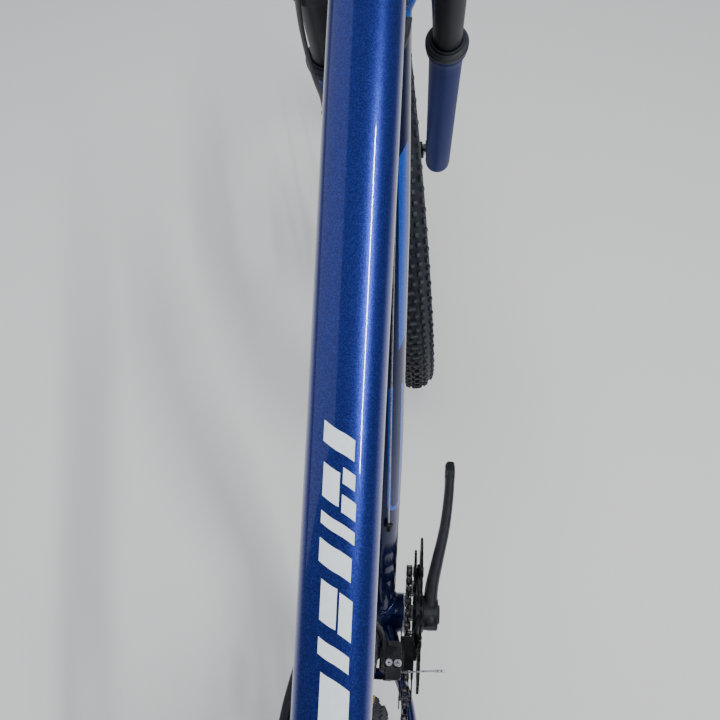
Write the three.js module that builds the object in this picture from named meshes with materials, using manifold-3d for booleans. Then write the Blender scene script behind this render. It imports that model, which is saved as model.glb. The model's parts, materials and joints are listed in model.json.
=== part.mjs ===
// A hardtail mountain bicycle frame with its suspension fork, wheels and drivetrain.
// Millimetres, +X forward, +Y to the rider's left, +Z up, origin on the ground.
import * as THREE from "three";
import { mergeVertices } from "three/addons/utils/BufferGeometryUtils.js";
import Module from "manifold-3d";

const wasm = await Module();
wasm.setup();

// Driving dimensions.
const GAP = 0.3; // between parts that rest on each other
const WHEEL_RADIUS = 350;
const TYRE_SECTION = 27; // half the tyre's width
const RIM_RADIUS = 299;
const BB_HEIGHT = 300;
const CHAINSTAY_LENGTH = 440;
const FRONT_CENTRE = 640; // bottom bracket to front axle, level
const HEAD_ANGLE = 70.5;
const SEAT_ANGLE = 71.5;
const FORK_RAKE = 44;
const STEER_AT_REST = 8.1; // the fork stands turned a little to the left
const LEG_LEAD = 12; // fork legs ahead of the steering axis
const LEG_SPREAD = 62; // half the distance between the legs
const STANCHION_RADIUS = 15;
const WIPER_HEIGHT = 320;
const LEG_FOOT = 20; // along the leg, above the axle
const CROWN_RACE = 480;
const HEAD_TUBE = [485, 600]; // both ends, along the steering axis
const HEAD_TUBE_RADIUS = 25;
const SEAT_TUBE_RADIUS = 17.4;
const SEAT_TUBE_LENGTH = 470;
const BB_SHELL_RADIUS = 21.5;
const BB_SHELL_HALF = 36.5;
const SPINDLE_RADIUS = 9;
const CRANK_LENGTH = 170;
const CRANK_AT_REST = -4.2; // right arm, degrees above level
const PITCH = 12.7; // chain
const CHAIN_Y = -41.5;
const RING_SPACING = 6.6;
const COG_SPACING = 4.8;
const COG_TEETH = [32, 28, 24, 21, 18, 15, 13, 11];
const CHAIN_COG = 3; // index of the cog that the chain is on
const REAR_HALF_WIDTH = 67.5; // half the distance between the rear dropouts
const FRONT_HALF_WIDTH = 50;
const ROTOR_RADIUS = 80;
const AXLE_RADIUS = 5;
const MIDDLE = 99.5; // from the bottom bracket forward to the middle of the wheelbase

const rad = THREE.MathUtils.degToRad;
const vec = (x, y, z) => new THREE.Vector3(x, y, z);
const Y_AXIS = vec(0, 1, 0);
const pitchRadius = (teeth) => (teeth * PITCH) / (2 * Math.PI);

const BB = vec(0, 0, BB_HEIGHT);
const REAR_AXLE = vec(
  -Math.sqrt(CHAINSTAY_LENGTH ** 2 - (WHEEL_RADIUS - BB_HEIGHT) ** 2),
  0,
  WHEEL_RADIUS,
);
const STEER_UP = vec(-Math.cos(rad(HEAD_ANGLE)), 0, Math.sin(rad(HEAD_ANGLE)));
const STEER_FRONT = vec(STEER_UP.z, 0, -STEER_UP.x);
const STEER_FOOT = vec(FRONT_CENTRE, 0, WHEEL_RADIUS).addScaledVector(
  STEER_FRONT,
  -FORK_RAKE,
);
const SEAT_UP = vec(-Math.cos(rad(SEAT_ANGLE)), 0, Math.sin(rad(SEAT_ANGLE)));
const onSteer = (s) => STEER_FOOT.clone().addScaledVector(STEER_UP, s);
const onSeat = (s) => BB.clone().addScaledVector(SEAT_UP, s);

// Closed solids from three.js geometry, and their joins and cuts.
function toSolid(geometry) {
  const bare = new THREE.BufferGeometry();
  const flat = geometry.index ? geometry.toNonIndexed() : geometry;
  bare.setAttribute("position", flat.getAttribute("position"));
  const merged = mergeVertices(bare, 1e-4);
  const vertProperties = new Float32Array(merged.attributes.position.array);
  const triVerts = new Uint32Array(merged.index.array);
  const solid = new wasm.Manifold(
    new wasm.Mesh({ numProp: 3, vertProperties, triVerts }),
  );
  if (solid.volume() >= 0) return solid;
  for (let i = 0; i < triVerts.length; i += 3)
    [triVerts[i], triVerts[i + 1]] = [triVerts[i + 1], triVerts[i]];
  return new wasm.Manifold(
    new wasm.Mesh({ numProp: 3, vertProperties, triVerts }),
  );
}

function toGeometry(solid) {
  const mesh = solid.getMesh();
  const geometry = new THREE.BufferGeometry();
  const positions = new Float32Array(mesh.vertProperties);
  geometry.setAttribute("position", new THREE.BufferAttribute(positions, 3));
  geometry.setIndex(
    new THREE.BufferAttribute(new Uint32Array(mesh.triVerts), 1),
  );
  geometry.computeVertexNormals();
  return geometry;
}

const closed = (geometry) => toGeometry(toSolid(geometry));
const join = (...shapes) =>
  toGeometry(shapes.map(toSolid).reduce((all, next) => all.add(next)));
const cut = (shape, ...tools) =>
  toGeometry(
    tools.map(toSolid).reduce((left, tool) => left.subtract(tool), toSolid(shape)),
  );

// A straight round bar from one point to another.
function bar(from, to, radius, endRadius = radius, sides = 24) {
  const along = to.clone().sub(from);
  const geometry = new THREE.CylinderGeometry(
    endRadius,
    radius,
    along.length(),
    sides,
  );
  geometry.applyQuaternion(
    new THREE.Quaternion().setFromUnitVectors(Y_AXIS, along.clone().normalize()),
  );
  const middle = from.clone().add(to).multiplyScalar(0.5);
  return geometry.translate(middle.x, middle.y, middle.z);
}

// A bar along Y, through the point (x, z).
const crossBar = (x, z, y0, y1, radius, sides = 24) =>
  bar(vec(x, y0, z), vec(x, y1, z), radius, radius, sides);

// A body turned about Y from a closed list of [radius, y].
function turned(profile, sides = 36) {
  const points = [...profile, profile[0]].map(([r, y]) => new THREE.Vector2(r, y));
  return closed(new THREE.LatheGeometry(points, sides));
}

// A round cord or rail along a smooth curve.
function pipe(points, radius, steps, sides = 8) {
  const outline = new THREE.Shape();
  outline.absarc(0, 0, radius, 0, 2 * Math.PI);
  return closed(
    new THREE.ExtrudeGeometry(outline, {
      steps,
      curveSegments: sides / 2,
      bevelEnabled: false,
      extrudePath: new THREE.CatmullRomCurve3(points),
    }),
  );
}

// A flat plate in the X-Z plane between two values of y.
function plate(shape, y0, y1, curveSegments = 5) {
  const geometry = new THREE.ExtrudeGeometry(shape, {
    depth: y1 - y0,
    bevelEnabled: false,
    curveSegments,
  });
  return geometry.rotateX(Math.PI / 2).translate(0, y1, 0);
}

// A skin over oval stations. Each has a centre, two half widths and their directions.
function loft(stations, sides = 20) {
  const positions = [];
  const index = [];
  const push = (p) => positions.push(p.x, p.y, p.z);
  for (const { at, across, up, half, square = 2 } of stations)
    for (let i = 0; i < sides; i++) {
      const angle = (2 * Math.PI * i) / sides;
      const soft = (v) => Math.sign(v) * Math.abs(v) ** (2 / square);
      const p = at.clone();
      p.addScaledVector(across, half[0] * soft(Math.cos(angle)));
      p.addScaledVector(up, half[1] * soft(Math.sin(angle)));
      push(p);
    }
  const last = stations.length - 1;
  push(stations[0].at);
  push(stations[last].at);
  const ends = [stations.length * sides, stations.length * sides + 1];
  for (let i = 0; i < sides; i++) {
    const next = (i + 1) % sides;
    for (let k = 0; k < last; k++) {
      const [a, b] = [k * sides + i, k * sides + next];
      index.push(a, b, b + sides, a, b + sides, a + sides);
    }
    index.push(ends[0], next, i);
    index.push(ends[1], last * sides + i, last * sides + next);
  }
  const geometry = new THREE.BufferGeometry();
  geometry.setAttribute(
    "position",
    new THREE.Float32BufferAttribute(positions, 3),
  );
  geometry.setIndex(index);
  return closed(geometry);
}

// Stations along a curve in space, with Y across and the third direction worked out.
function tubeStations(points, halves, count, square) {
  const curve = new THREE.CatmullRomCurve3(points);
  const stations = [];
  for (let i = 0; i <= count; i++) {
    const u = i / count;
    const along = curve.getTangent(u);
    const up = vec(0, 0, 0).crossVectors(along, Y_AXIS).normalize();
    const across = vec(0, 0, 0).crossVectors(up, along).normalize();
    const place = u * (halves.length - 1);
    const k = Math.min(Math.floor(place), halves.length - 2);
    const mix = (j) =>
      THREE.MathUtils.lerp(halves[k][j], halves[k + 1][j], place - k);
    stations.push({ at: curve.getPoint(u), across, up, half: [mix(0), mix(1)], square });
  }
  return stations;
}

// Finishes.
const finish = (color, roughness, metalness) => ({ color, roughness, metalness });
const BLUE = finish(0x142a86, 0.25, 0.6);
const NAVY = finish(0x0a1030, 0.3, 0.5);
const BLACK = finish(0x15161a, 0.45, 0.6);
const RUBBER = finish(0x17181a, 0.85, 0);
const STEEL = finish(0xb8bcc2, 0.3, 0.9);
const GREY = finish(0x3c3f45, 0.45, 0.5);

function addPart(group, name, geometry, look) {
  const mesh = new THREE.Mesh(geometry, new THREE.MeshStandardMaterial(look));
  mesh.name = name;
  group.add(mesh);
}

const bike = new THREE.Group();
bike.position.x = -MIDDLE;

// ---- Frame tubes ----
const BB_CLEAR = crossBar(BB.x, BB.z, -60, 60, BB_SHELL_RADIUS + GAP, 32);
const HEAD_CLEAR = bar(onSteer(440), onSteer(640), HEAD_TUBE_RADIUS + GAP);
const SEAT_CLEAR = bar(
  onSeat(-5),
  onSeat(SEAT_TUBE_LENGTH + 30),
  SEAT_TUBE_RADIUS + GAP,
);
const TOP_TUBE_ENDS = [onSeat(424), onSteer(578)];

function headTube() {
  const outer = bar(onSteer(HEAD_TUBE[0]), onSteer(HEAD_TUBE[1]), HEAD_TUBE_RADIUS);
  return cut(outer, bar(onSteer(440), onSteer(640), 20));
}

function seatTube() {
  const outer = bar(BB, onSeat(SEAT_TUBE_LENGTH), SEAT_TUBE_RADIUS);
  const bore = bar(onSeat(SEAT_TUBE_LENGTH - 170), onSeat(SEAT_TUBE_LENGTH + 20), 15.5);
  return cut(outer, BB_CLEAR, bore);
}

function topTube() {
  const halves = [[23, 18], [23.5, 20], [25, 21.5], [26, 23]];
  const stations = tubeStations(TOP_TUBE_ENDS, halves, 6, 2.3);
  return cut(loft(stations, 20), HEAD_CLEAR, SEAT_CLEAR);
}

const DOWN_TUBE_PATH = [BB, vec(150, 0, 503), vec(300, 0, 700), onSteer(524)];

function downTube() {
  const halves = [[26, 20], [30.5, 26], [30.5, 27], [25.5, 25]];
  const stations = tubeStations(DOWN_TUBE_PATH, halves, 9, 2.2);
  return cut(loft(stations, 20), HEAD_CLEAR, BB_CLEAR, SEAT_CLEAR);
}

function chainstay(side) {
  const route = [
    [0, 14, 300, 9, 12],
    [-30, 24.5, 303, 9, 12],
    [-58, 31, 306, 7, 12],
    [-95, 45, 310, 7, 12],
    [-150, 52, 317, 7.5, 11],
    [-250, 59, 328, 7.5, 10],
    [-340, 66, 337, 6.5, 9],
    [-398, 70.8, 343, 4.5, 9],
  ];
  const stations = route.map(([x, y, z, w, h]) => ({
    at: vec(x, side * y, z),
    across: vec(0, side, 0),
    up: vec(0, 0, 1),
    half: [w, h],
  }));
  return cut(loft(stations, 16), BB_CLEAR, SEAT_CLEAR);
}

const SEATSTAY_TOP = onSeat(406);
const SEATSTAY_FOOT = vec(-414, 0, 386);

function seatstay(side) {
  const route = [
    [0, 17, 7, 11],
    [0.1, 30, 7.5, 10],
    [0.25, 42, 8, 9],
    [0.5, 54, 7.5, 8],
    [0.75, 64, 6.5, 8],
    [1, 70.8, 4.5, 8],
  ];
  const along = SEATSTAY_FOOT.clone().sub(SEATSTAY_TOP);
  const up = vec(0, 0, 0).crossVectors(along, Y_AXIS).normalize();
  const stations = route.map(([t, y, w, h]) => ({
    at: SEATSTAY_TOP.clone().addScaledVector(along, t).setY(side * y),
    across: vec(0, side, 0),
    up,
    half: [w, h],
  }));
  return cut(loft(stations, 16), SEAT_CLEAR);
}

function bridge(x, z, halfWidth, ...stays) {
  return cut(crossBar(x, z, -halfWidth, halfWidth, 6, 12), ...stays);
}

// The stays' skins, made fatter by the gap, so that a bridge can be cut to them.
function chainstayWall(side) {
  const stations = [
    { at: vec(-30, side * 24.8, 303), half: [9.3, 14] },
    { at: vec(-58, side * 29.8, 306), half: [7.4, 14] },
    { at: vec(-95, side * 37.8, 310), half: [7.4, 14] },
  ].map((s) => ({ ...s, across: vec(0, side, 0), up: vec(0, 0, 1), square: 6 }));
  return loft(stations, 16);
}

function dropout(side) {
  const shape = new THREE.Shape();
  const [x, z] = [REAR_AXLE.x, REAR_AXLE.z];
  shape.moveTo(x + 38.7, z - 16);
  shape.lineTo(x + 38.7, z + 2);
  shape.lineTo(x + 28, z + 16);
  shape.lineTo(x + 28.4, z + 30);
  shape.lineTo(x + 16.6, z + 40);
  shape.lineTo(x - 8, z + 18);
  shape.absarc(x, z, 17, rad(110), rad(side > 0 ? 270 : 205), false);
  if (side < 0) {
    shape.lineTo(x - 6, z - 38);
    shape.absarc(x + 3, z - 38, 9, rad(190), rad(350), false);
    shape.lineTo(x + 14, z - 20);
  }
  shape.closePath();
  const [inner, outer] = [REAR_HALF_WIDTH + GAP, REAR_HALF_WIDTH + 6];
  const solid = side > 0 ? plate(shape, inner, outer) : plate(shape, -outer, -inner);
  const hole = crossBar(x, z, -90, 90, AXLE_RADIUS + GAP);
  return cut(solid, hole);
}

const CLAMP_EAR = 27; // the clamp's bolt, behind the seat tube's middle

function seatClamp() {
  const [low, high] = [onSeat(SEAT_TUBE_LENGTH - 16), onSeat(SEAT_TUBE_LENGTH - 1)];
  const band = bar(low, high, SEAT_TUBE_RADIUS + 4);
  const middle = low.clone().add(high).multiplyScalar(0.5);
  const ear = bar(
    middle.clone().add(vec(-CLAMP_EAR, -9, 0)),
    middle.clone().add(vec(-CLAMP_EAR, 9, 0)),
    6.5,
  );
  const web = new THREE.BoxGeometry(14, 16, 10);
  web.translate(middle.x - 20, 0, middle.z);
  const bolt = crossBar(middle.x - CLAMP_EAR, middle.z, -20, 20, 3.3);
  return cut(join(band, ear, web), SEAT_CLEAR, bolt);
}

function seatClampBolt() {
  const middle = onSeat(SEAT_TUBE_LENGTH - 8.5);
  const [x, z] = [middle.x - CLAMP_EAR, middle.z];
  const head = crossBar(x, z, -14, -9 - GAP, 5, 16);
  return join(head, crossBar(x, z, -13, 12, 3, 16));
}

function headsetCup(lower) {
  const [from, to] = lower
    ? [HEAD_TUBE[0] - 3.8, HEAD_TUBE[0] - GAP]
    : [HEAD_TUBE[1] + GAP, HEAD_TUBE[1] + 10];
  const flange = bar(onSteer(from), onSteer(to), 24.5, lower ? 24.5 : 20);
  const inside = lower ? HEAD_TUBE[0] + 18 : HEAD_TUBE[1] - 18;
  const sleeve = bar(onSteer(lower ? to - 1 : inside), onSteer(lower ? inside : from + 1), 19.7);
  const bore = bar(onSteer(440), onSteer(660), 14.3 + GAP);
  return cut(join(flange, sleeve), bore);
}

addPart(bike, "top_tube", topTube(), BLUE);
addPart(bike, "down_tube", downTube(), NAVY);
addPart(bike, "seat_tube", seatTube(), NAVY);
addPart(bike, "head_tube", headTube(), BLUE);
addPart(
  bike,
  "bottom_bracket_shell",
  turned([[17.6, -BB_SHELL_HALF], [BB_SHELL_RADIUS, -BB_SHELL_HALF],
    [BB_SHELL_RADIUS, BB_SHELL_HALF], [17.6, BB_SHELL_HALF]], 28).translate(BB.x, 0, BB.z),
  NAVY,
);
for (const [name, side] of [["right", -1], ["left", 1]]) {
  addPart(bike, "chainstay_" + name, chainstay(side), NAVY);
  addPart(bike, "seatstay_" + name, seatstay(side), BLUE);
  addPart(bike, "dropout_" + name, dropout(side), NAVY);
}
addPart(
  bike,
  "chainstay_bridge",
  bridge(-66, 307, 30, chainstayWall(1), chainstayWall(-1)),
  NAVY,
);
const bridgeAt = SEATSTAY_TOP.clone().lerp(SEATSTAY_FOOT, 0.12);
addPart(
  bike,
  "seatstay_bridge",
  crossBar(bridgeAt.x, bridgeAt.z, -22.6, 22.6, 5.5, 12),
  BLUE,
);
addPart(bike, "seat_clamp", seatClamp(), BLACK);
addPart(bike, "seat_clamp_bolt", seatClampBolt(), STEEL);
addPart(bike, "headset_upper_cup", headsetCup(false), BLACK);
addPart(bike, "headset_lower_cup", headsetCup(true), BLACK);

// ---- Bottom bracket, cranks and rings ----
function bottomBracket() {
  const lip = BB_SHELL_HALF + GAP;
  const end = BB_SHELL_HALF + 3;
  const bore = SPINDLE_RADIUS + GAP;
  const profile = [
    [bore, -end], [21, -end], [21, -lip], [17.3, -lip],
    [17.3, lip], [21, lip], [21, end], [bore, end],
  ];
  return turned(profile, 24).translate(BB.x, 0, BB.z);
}

// The right arm, drawn level and pointing forward from the spindle's centre.
function crankArm(side) {
  const route = [
    [0, 66.5, 8, 17],
    [28, 67.5, 7.6, 15],
    [60, 73.5, 7, 12.5],
    [100, 81.5, 6.4, 11.5],
    [140, 86, 6, 11.8],
    [CRANK_LENGTH, 87.5, 5.8, 13.5],
  ];
  const stations = route.map(([x, y, w, h]) => ({
    at: vec(x, side * y, 0),
    across: vec(0, side, 0),
    up: vec(0, 0, 1),
    half: [w, h],
    square: 3.2,
  }));
  const boss = crossBar(0, 0, side * 58, side * 75, 17.5, 20);
  const eye = crossBar(CRANK_LENGTH, 0, side * 81.5, side * 93, 13.5, 20);
  const parts = [loft(stations, 14), boss, eye];
  if (side < 0) parts.push(spider());
  const spindleHole = crossBar(0, 0, side * 40, side * 69, SPINDLE_RADIUS + GAP, 24);
  const pedalHole = crossBar(CRANK_LENGTH, 0, side * 60, side * 100, 7.1, 20);
  return cut(join(...parts), spindleHole, pedalHole);
}

const LARGE_Y = CHAIN_Y - 2 * RING_SPACING;
const MIDDLE_Y = CHAIN_Y - RING_SPACING;

// The four-armed spider between the large and the middle ring.
function spider() {
  const [outer, inner] = [LARGE_Y + 1.3 + GAP, MIDDLE_Y - 1.3 - GAP];
  const arms = [0, 1, 2, 3].map((i) => {
    const box = new THREE.BoxGeometry(38, inner - outer, 15);
    box.translate(37, (inner + outer) / 2, 0);
    return box.rotateY(rad(45 + 90 * i));
  });
  return join(crossBar(0, 0, -59, inner, 24, 28), ...arms);
}

function chainring(teeth, y, innerRadius, tip) {
  const outer = pitchRadius(teeth) + tip;
  return turned(
    [[innerRadius, y - 1.3], [outer, y - 1.3], [outer, y + 1.3], [innerRadius, y + 1.3]],
    40,
  );
}

const cranks = new THREE.Group();
cranks.position.copy(BB);
cranks.rotation.y = -rad(CRANK_AT_REST);
bike.add(cranks);
addPart(bike, "bottom_bracket", bottomBracket(), STEEL);
addPart(cranks, "bottom_bracket_spindle", crossBar(0, 0, -68, 68, SPINDLE_RADIUS), STEEL);
addPart(cranks, "crank_arm_right", crankArm(-1), GREY);
addPart(cranks, "crank_arm_left", crankArm(1).rotateY(Math.PI), GREY);
addPart(cranks, "chainring_large", chainring(40, LARGE_Y, 44, 2.5), BLACK);
addPart(cranks, "chainring_middle", chainring(33, MIDDLE_Y, 44, 2.5), BLACK);
addPart(cranks, "chainring_small", chainring(24, CHAIN_Y, 33, -4.7), BLACK);

// ---- Chain ----
const GUIDE = vec(-428, 0, 272);
const TENSION = vec(-441, 0, 180);
const PULLEY_TEETH = 11;

// The chain's pitch line: round each wheel in turn, with straight runs between them.
// A turn of -1 is clockwise, seen with X to the right and Z up.
function chainLine() {
  const wheels = [
    { x: BB.x, z: BB.z, r: pitchRadius(24), turn: -1 },
    { x: TENSION.x, z: TENSION.z, r: pitchRadius(PULLEY_TEETH), turn: -1 },
    { x: GUIDE.x, z: GUIDE.z, r: pitchRadius(PULLEY_TEETH), turn: 1 },
    { x: REAR_AXLE.x, z: REAR_AXLE.z, r: pitchRadius(COG_TEETH[CHAIN_COG]), turn: -1 },
  ];
  const runs = wheels.map((a, i) => {
    const b = wheels[(i + 1) % wheels.length];
    const [dx, dz] = [b.x - a.x, b.z - a.z];
    const distance = Math.hypot(dx, dz);
    const lean = Math.asin((b.turn * b.r - a.turn * a.r) / distance);
    const heading = Math.atan2(dz, dx) - lean;
    return { leave: heading - (a.turn * Math.PI) / 2, arrive: heading - (b.turn * Math.PI) / 2 };
  });
  const line = [];
  wheels.forEach(({ x, z, r, turn }, i) => {
    const from = runs[(i + wheels.length - 1) % wheels.length].arrive;
    let sweep = (runs[i].leave - from) * turn;
    while (sweep < 0) sweep += 2 * Math.PI;
    while (sweep > 2 * Math.PI) sweep -= 2 * Math.PI;
    const steps = Math.max(3, Math.ceil(sweep / rad(18)));
    for (let k = 0; k <= steps; k++) {
      const angle = from + (turn * sweep * k) / steps;
      line.push([x + r * Math.cos(angle), z + r * Math.sin(angle)]);
    }
  });
  return line;
}

function offsetLine(line, by) {
  return line.map(([x, z], i) => {
    const [px, pz] = line[(i + line.length - 1) % line.length];
    const [nx, nz] = line[(i + 1) % line.length];
    const length = Math.hypot(nx - px, nz - pz);
    return new THREE.Vector2(x - (by * (nz - pz)) / length, z + (by * (nx - px)) / length);
  });
}

function chain() {
  const line = chainLine();
  const shape = new THREE.Shape(offsetLine(line, 4.2));
  shape.holes.push(new THREE.Path(offsetLine(line, -4.2).reverse()));
  return closed(plate(shape, CHAIN_Y - 3.2, CHAIN_Y + 3.2));
}

addPart(bike, "chain", chain(), STEEL);

// ---- Wheels ----
function tyre() {
  const beadY = Math.sqrt(TYRE_SECTION ** 2 - (WHEEL_RADIUS - TYRE_SECTION - RIM_RADIUS - GAP) ** 2);
  const middle = WHEEL_RADIUS - TYRE_SECTION;
  const start = Math.atan2(beadY, RIM_RADIUS + GAP - middle);
  const profile = [];
  for (let i = 0; i <= 8; i++) {
    const angle = start - (2 * start * i) / 8;
    profile.push([middle + TYRE_SECTION * Math.cos(angle), TYRE_SECTION * Math.sin(angle)]);
  }
  return turned(profile, 48);
}

function rim() {
  return turned(
    [[275, -5], [282, -11], [RIM_RADIUS, -13], [291, -9],
      [291, 9], [RIM_RADIUS, 13], [282, 11], [275, 5]],
    48,
  );
}

// A hub from its list of [y, radius] steps along the axle.
function hub(steps) {
  const profile = [[AXLE_RADIUS + GAP, steps[0][0]]];
  for (const [y, r] of steps) profile.push([r, y]);
  profile.push([AXLE_RADIUS + GAP, steps[steps.length - 1][0]]);
  return turned(profile, 20);
}

const flange = (y, r, shell) => [[y - 1.5, shell], [y - 1.5, r], [y + 1.5, r], [y + 1.5, shell]];
const rotor = (y) =>
  turned([[18.3, y - 0.95], [ROTOR_RADIUS, y - 0.95], [ROTOR_RADIUS, y + 0.95], [18.3, y + 0.95]], 36);

const FRONT_ROTOR_Y = 34.7;
const REAR_ROTOR_Y = 52.2;

const rearWheel = new THREE.Group();
rearWheel.position.copy(REAR_AXLE);
bike.add(rearWheel);
addPart(rearWheel, "rear_tyre", tyre(), RUBBER);
addPart(rearWheel, "rear_rim", rim(), BLACK);
addPart(
  rearWheel,
  "rear_hub",
  hub([[-24, 17], ...flange(-19.5, 27, 17), ...flange(33, 27, 17), [40, 18], [58, 18]]),
  BLACK,
);
addPart(rearWheel, "rear_brake_rotor", rotor(REAR_ROTOR_Y), STEEL);

const cogY = (i) => CHAIN_Y - COG_SPACING * (i - CHAIN_COG);

function cassette() {
  const core = 17.2;
  const lastCog = COG_TEETH.length - 1;
  const outerEnd = -REAR_HALF_WIDTH + 4.5;
  const profile = [[AXLE_RADIUS + GAP, cogY(0) + 1]];
  COG_TEETH.forEach((teeth, i) => {
    const tip = i === CHAIN_COG ? -4.7 : 2.6;
    const r = pitchRadius(teeth) + tip;
    profile.push([r, cogY(i) + 1], [r, cogY(i) - 1]);
    if (i < lastCog)
      profile.push([core, cogY(i) - 1], [core, cogY(i + 1) + 1]);
  });
  profile.push([13, cogY(lastCog) - 1], [13, outerEnd], [AXLE_RADIUS + GAP, outerEnd]);
  return turned(profile, 24);
}

addPart(rearWheel, "cassette", cassette(), STEEL);

// The axle, with the locknuts that the dropouts rest on and the skewer's nut.
function axle(halfWidth, rightEnd, leftEnd) {
  const nuts = [-1, 1].map((side) =>
    crossBar(0, 0, side * (halfWidth - 4), side * halfWidth, 8.5, 20),
  );
  const skewerNut = crossBar(0, 0, -rightEnd - 7, -rightEnd - GAP, 8.5, 20);
  return join(crossBar(0, 0, -rightEnd - 7, leftEnd, AXLE_RADIUS, 20), ...nuts, skewerNut);
}

addPart(rearWheel, "rear_axle", axle(REAR_HALF_WIDTH, 74.2, 73.5), STEEL);

// A lever on a cam that turns about X. It lies folded along +Z beside the dropout.
function quickRelease(inner) {
  const middle = inner + 7.5;
  const cam = bar(vec(-7, middle, 0), vec(7, middle, 0), 7, 7, 24);
  const arm = loft(
    [[4, 0, 4.5, 3.4], [18, 2.5, 5, 2.6], [40, 3, 6.5, 2.4], [62, 1.5, 5.5, 2]].map(
      ([z, y, w, h]) => ({
        at: vec(0, middle + y, z),
        across: vec(1, 0, 0),
        up: vec(0, 1, 0),
        half: [w, h],
        square: 3,
      }),
    ),
    16,
  );
  return join(cam, arm);
}

const rearLever = new THREE.Group();
rearLever.rotation.y = rad(70);
rearWheel.add(rearLever);
addPart(rearLever, "rear_quick_release_lever", quickRelease(73.5 + GAP), STEEL);

// A brake caliper: a rounded block that straddles the rotor, with a piston housing.
function caliper(rotorY) {
  const shape = new THREE.Shape();
  shape.absarc(-12, 6, 6, rad(90), rad(180));
  shape.absarc(-12, -8, 6, rad(180), rad(270));
  shape.absarc(12, -8, 6, rad(270), rad(360));
  shape.absarc(12, 6, 6, rad(0), rad(90));
  const block = plate(shape, rotorY - 9.5, rotorY + 9.5, 4);
  const piston = crossBar(0, 0, rotorY - 12, rotorY, 9, 20);
  const slot = new THREE.BoxGeometry(60, 4, 21).translate(0, rotorY, -4.5);
  return cut(join(block, piston), slot);
}

// It sits near the rotor's edge, at an angle from straight above the axle at (x, z).
function caliperAt(group, x, z, tilt, name, rotorY) {
  const place = new THREE.Group();
  place.position.set(x, 0, z);
  place.rotation.y = rad(tilt);
  group.add(place);
  addPart(place, name, caliper(rotorY).translate(0, 0, ROTOR_RADIUS - 4), BLACK);
}

caliperAt(rearWheel, 0, 0, 68, "rear_brake_caliper", REAR_ROTOR_Y);

// ---- Front derailleur ----
const FD_PIVOT = vec(-64, -30, 434);
const FD_CAGE_PIVOT = vec(-64, -24, 408);
const FD_PIN_HALF = 13;
const CAGE_INNER_Y = CHAIN_Y + 5.9;
const CAGE_OUTER_Y = CHAIN_Y - 6.1;

// Two lugs that hold the ends of a pin along X.
function lugs(pivot, rise) {
  return [-1, 1].map((side) => {
    const x = pivot.x + side * (FD_PIN_HALF - 1);
    const lug = new THREE.BoxGeometry(4, 9, Math.abs(rise) + 8);
    return lug.translate(x, pivot.y, pivot.z + rise / 2);
  });
}

const pinHole = (pivot) =>
  bar(pivot.clone().add(vec(-20, 0, 0)), pivot.clone().add(vec(20, 0, 0)), 2.5 + GAP, 2.5 + GAP, 14);

function fdBody() {
  const middle = onSeat(150);
  const band = bar(onSeat(142), onSeat(158), SEAT_TUBE_RADIUS + 3.2, SEAT_TUBE_RADIUS + 3.2, 28);
  const arm = new THREE.BoxGeometry(26, 14, 14).translate(-60, -24, middle.z);
  const head = new THREE.BoxGeometry(32, 14, 14).translate(-64, -30, 448);
  const solid = join(band, arm, head, ...lugs(FD_PIVOT, 4));
  return cut(solid, SEAT_CLEAR, pinHole(FD_PIVOT));
}

function fdLink() {
  const pins = [FD_PIVOT, FD_CAGE_PIVOT].map((pivot) =>
    bar(
      pivot.clone().add(vec(-FD_PIN_HALF, 0, 0)),
      pivot.clone().add(vec(FD_PIN_HALF, 0, 0)),
      2.5,
      2.5,
      14,
    ),
  );
  const web = loft(
    [FD_PIVOT, FD_CAGE_PIVOT].map((pivot) => ({
      at: pivot,
      across: vec(1, 0, 0),
      up: vec(0, 1, 0),
      half: [9, 2],
      square: 5,
    })),
    16,
  );
  const horn = new THREE.BoxGeometry(4, 5, 8).translate(-71.4, -31.5, 431);
  return join(web, ...pins, horn);
}

// A plate of the cage, curved round the rings.
function cagePlate(y, low, high, from, to) {
  const shape = new THREE.Shape();
  shape.absarc(BB.x, BB.z, high, rad(from), rad(to), false);
  shape.absarc(BB.x, BB.z, low, rad(to), rad(from), true);
  return plate(shape, y - 0.6, y + 0.6, 5);
}

function fdCage() {
  const roof = new THREE.Shape();
  roof.absarc(BB.x, BB.z, 110, rad(112), rad(128), false);
  roof.absarc(BB.x, BB.z, 105, rad(128), rad(112), true);
  const saddle = new THREE.BoxGeometry(24, 15, 6).translate(-64, -27.5, 399);
  const neck = new THREE.BoxGeometry(20, 6, 12).translate(-60, -36.5, 396);
  const tail = crossBar(-90, 336, CAGE_OUTER_Y, CAGE_INNER_Y, 2.5, 12);
  const solid = join(
    cagePlate(CAGE_INNER_Y, 76, 108, 110, 158),
    cagePlate(CAGE_OUTER_Y, 92, 108, 108, 160),
    plate(roof, CAGE_OUTER_Y, CAGE_INNER_Y),
    saddle,
    neck,
    tail,
    ...lugs(FD_CAGE_PIVOT, -6),
  );
  return cut(solid, pinHole(FD_CAGE_PIVOT));
}

// The cable's end beyond its anchor, with the crimped cap.
function fdCableTail() {
  const wire = pipe(
    [vec(-72, -34.3, 431), vec(-71, -45, 431.6), vec(-69.5, -58, 431.4), vec(-68, -75, 430.4)],
    0.75,
    10,
  );
  const cap = bar(vec(-68.3, -68, 431), vec(-68, -77.8, 430.3), 1.3, 1.3, 10);
  return join(wire, cap);
}

addPart(bike, "front_derailleur_body", fdBody(), BLACK);
addPart(bike, "front_derailleur_link", fdLink(), BLACK);
addPart(bike, "front_derailleur_cage", fdCage(), BLACK);
addPart(bike, "front_derailleur_cable_end", fdCableTail(), STEEL);

// ---- Rear derailleur ----
const RD_INNER = CHAIN_Y + 5;
const RD_OUTER = CHAIN_Y - 5;

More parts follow.
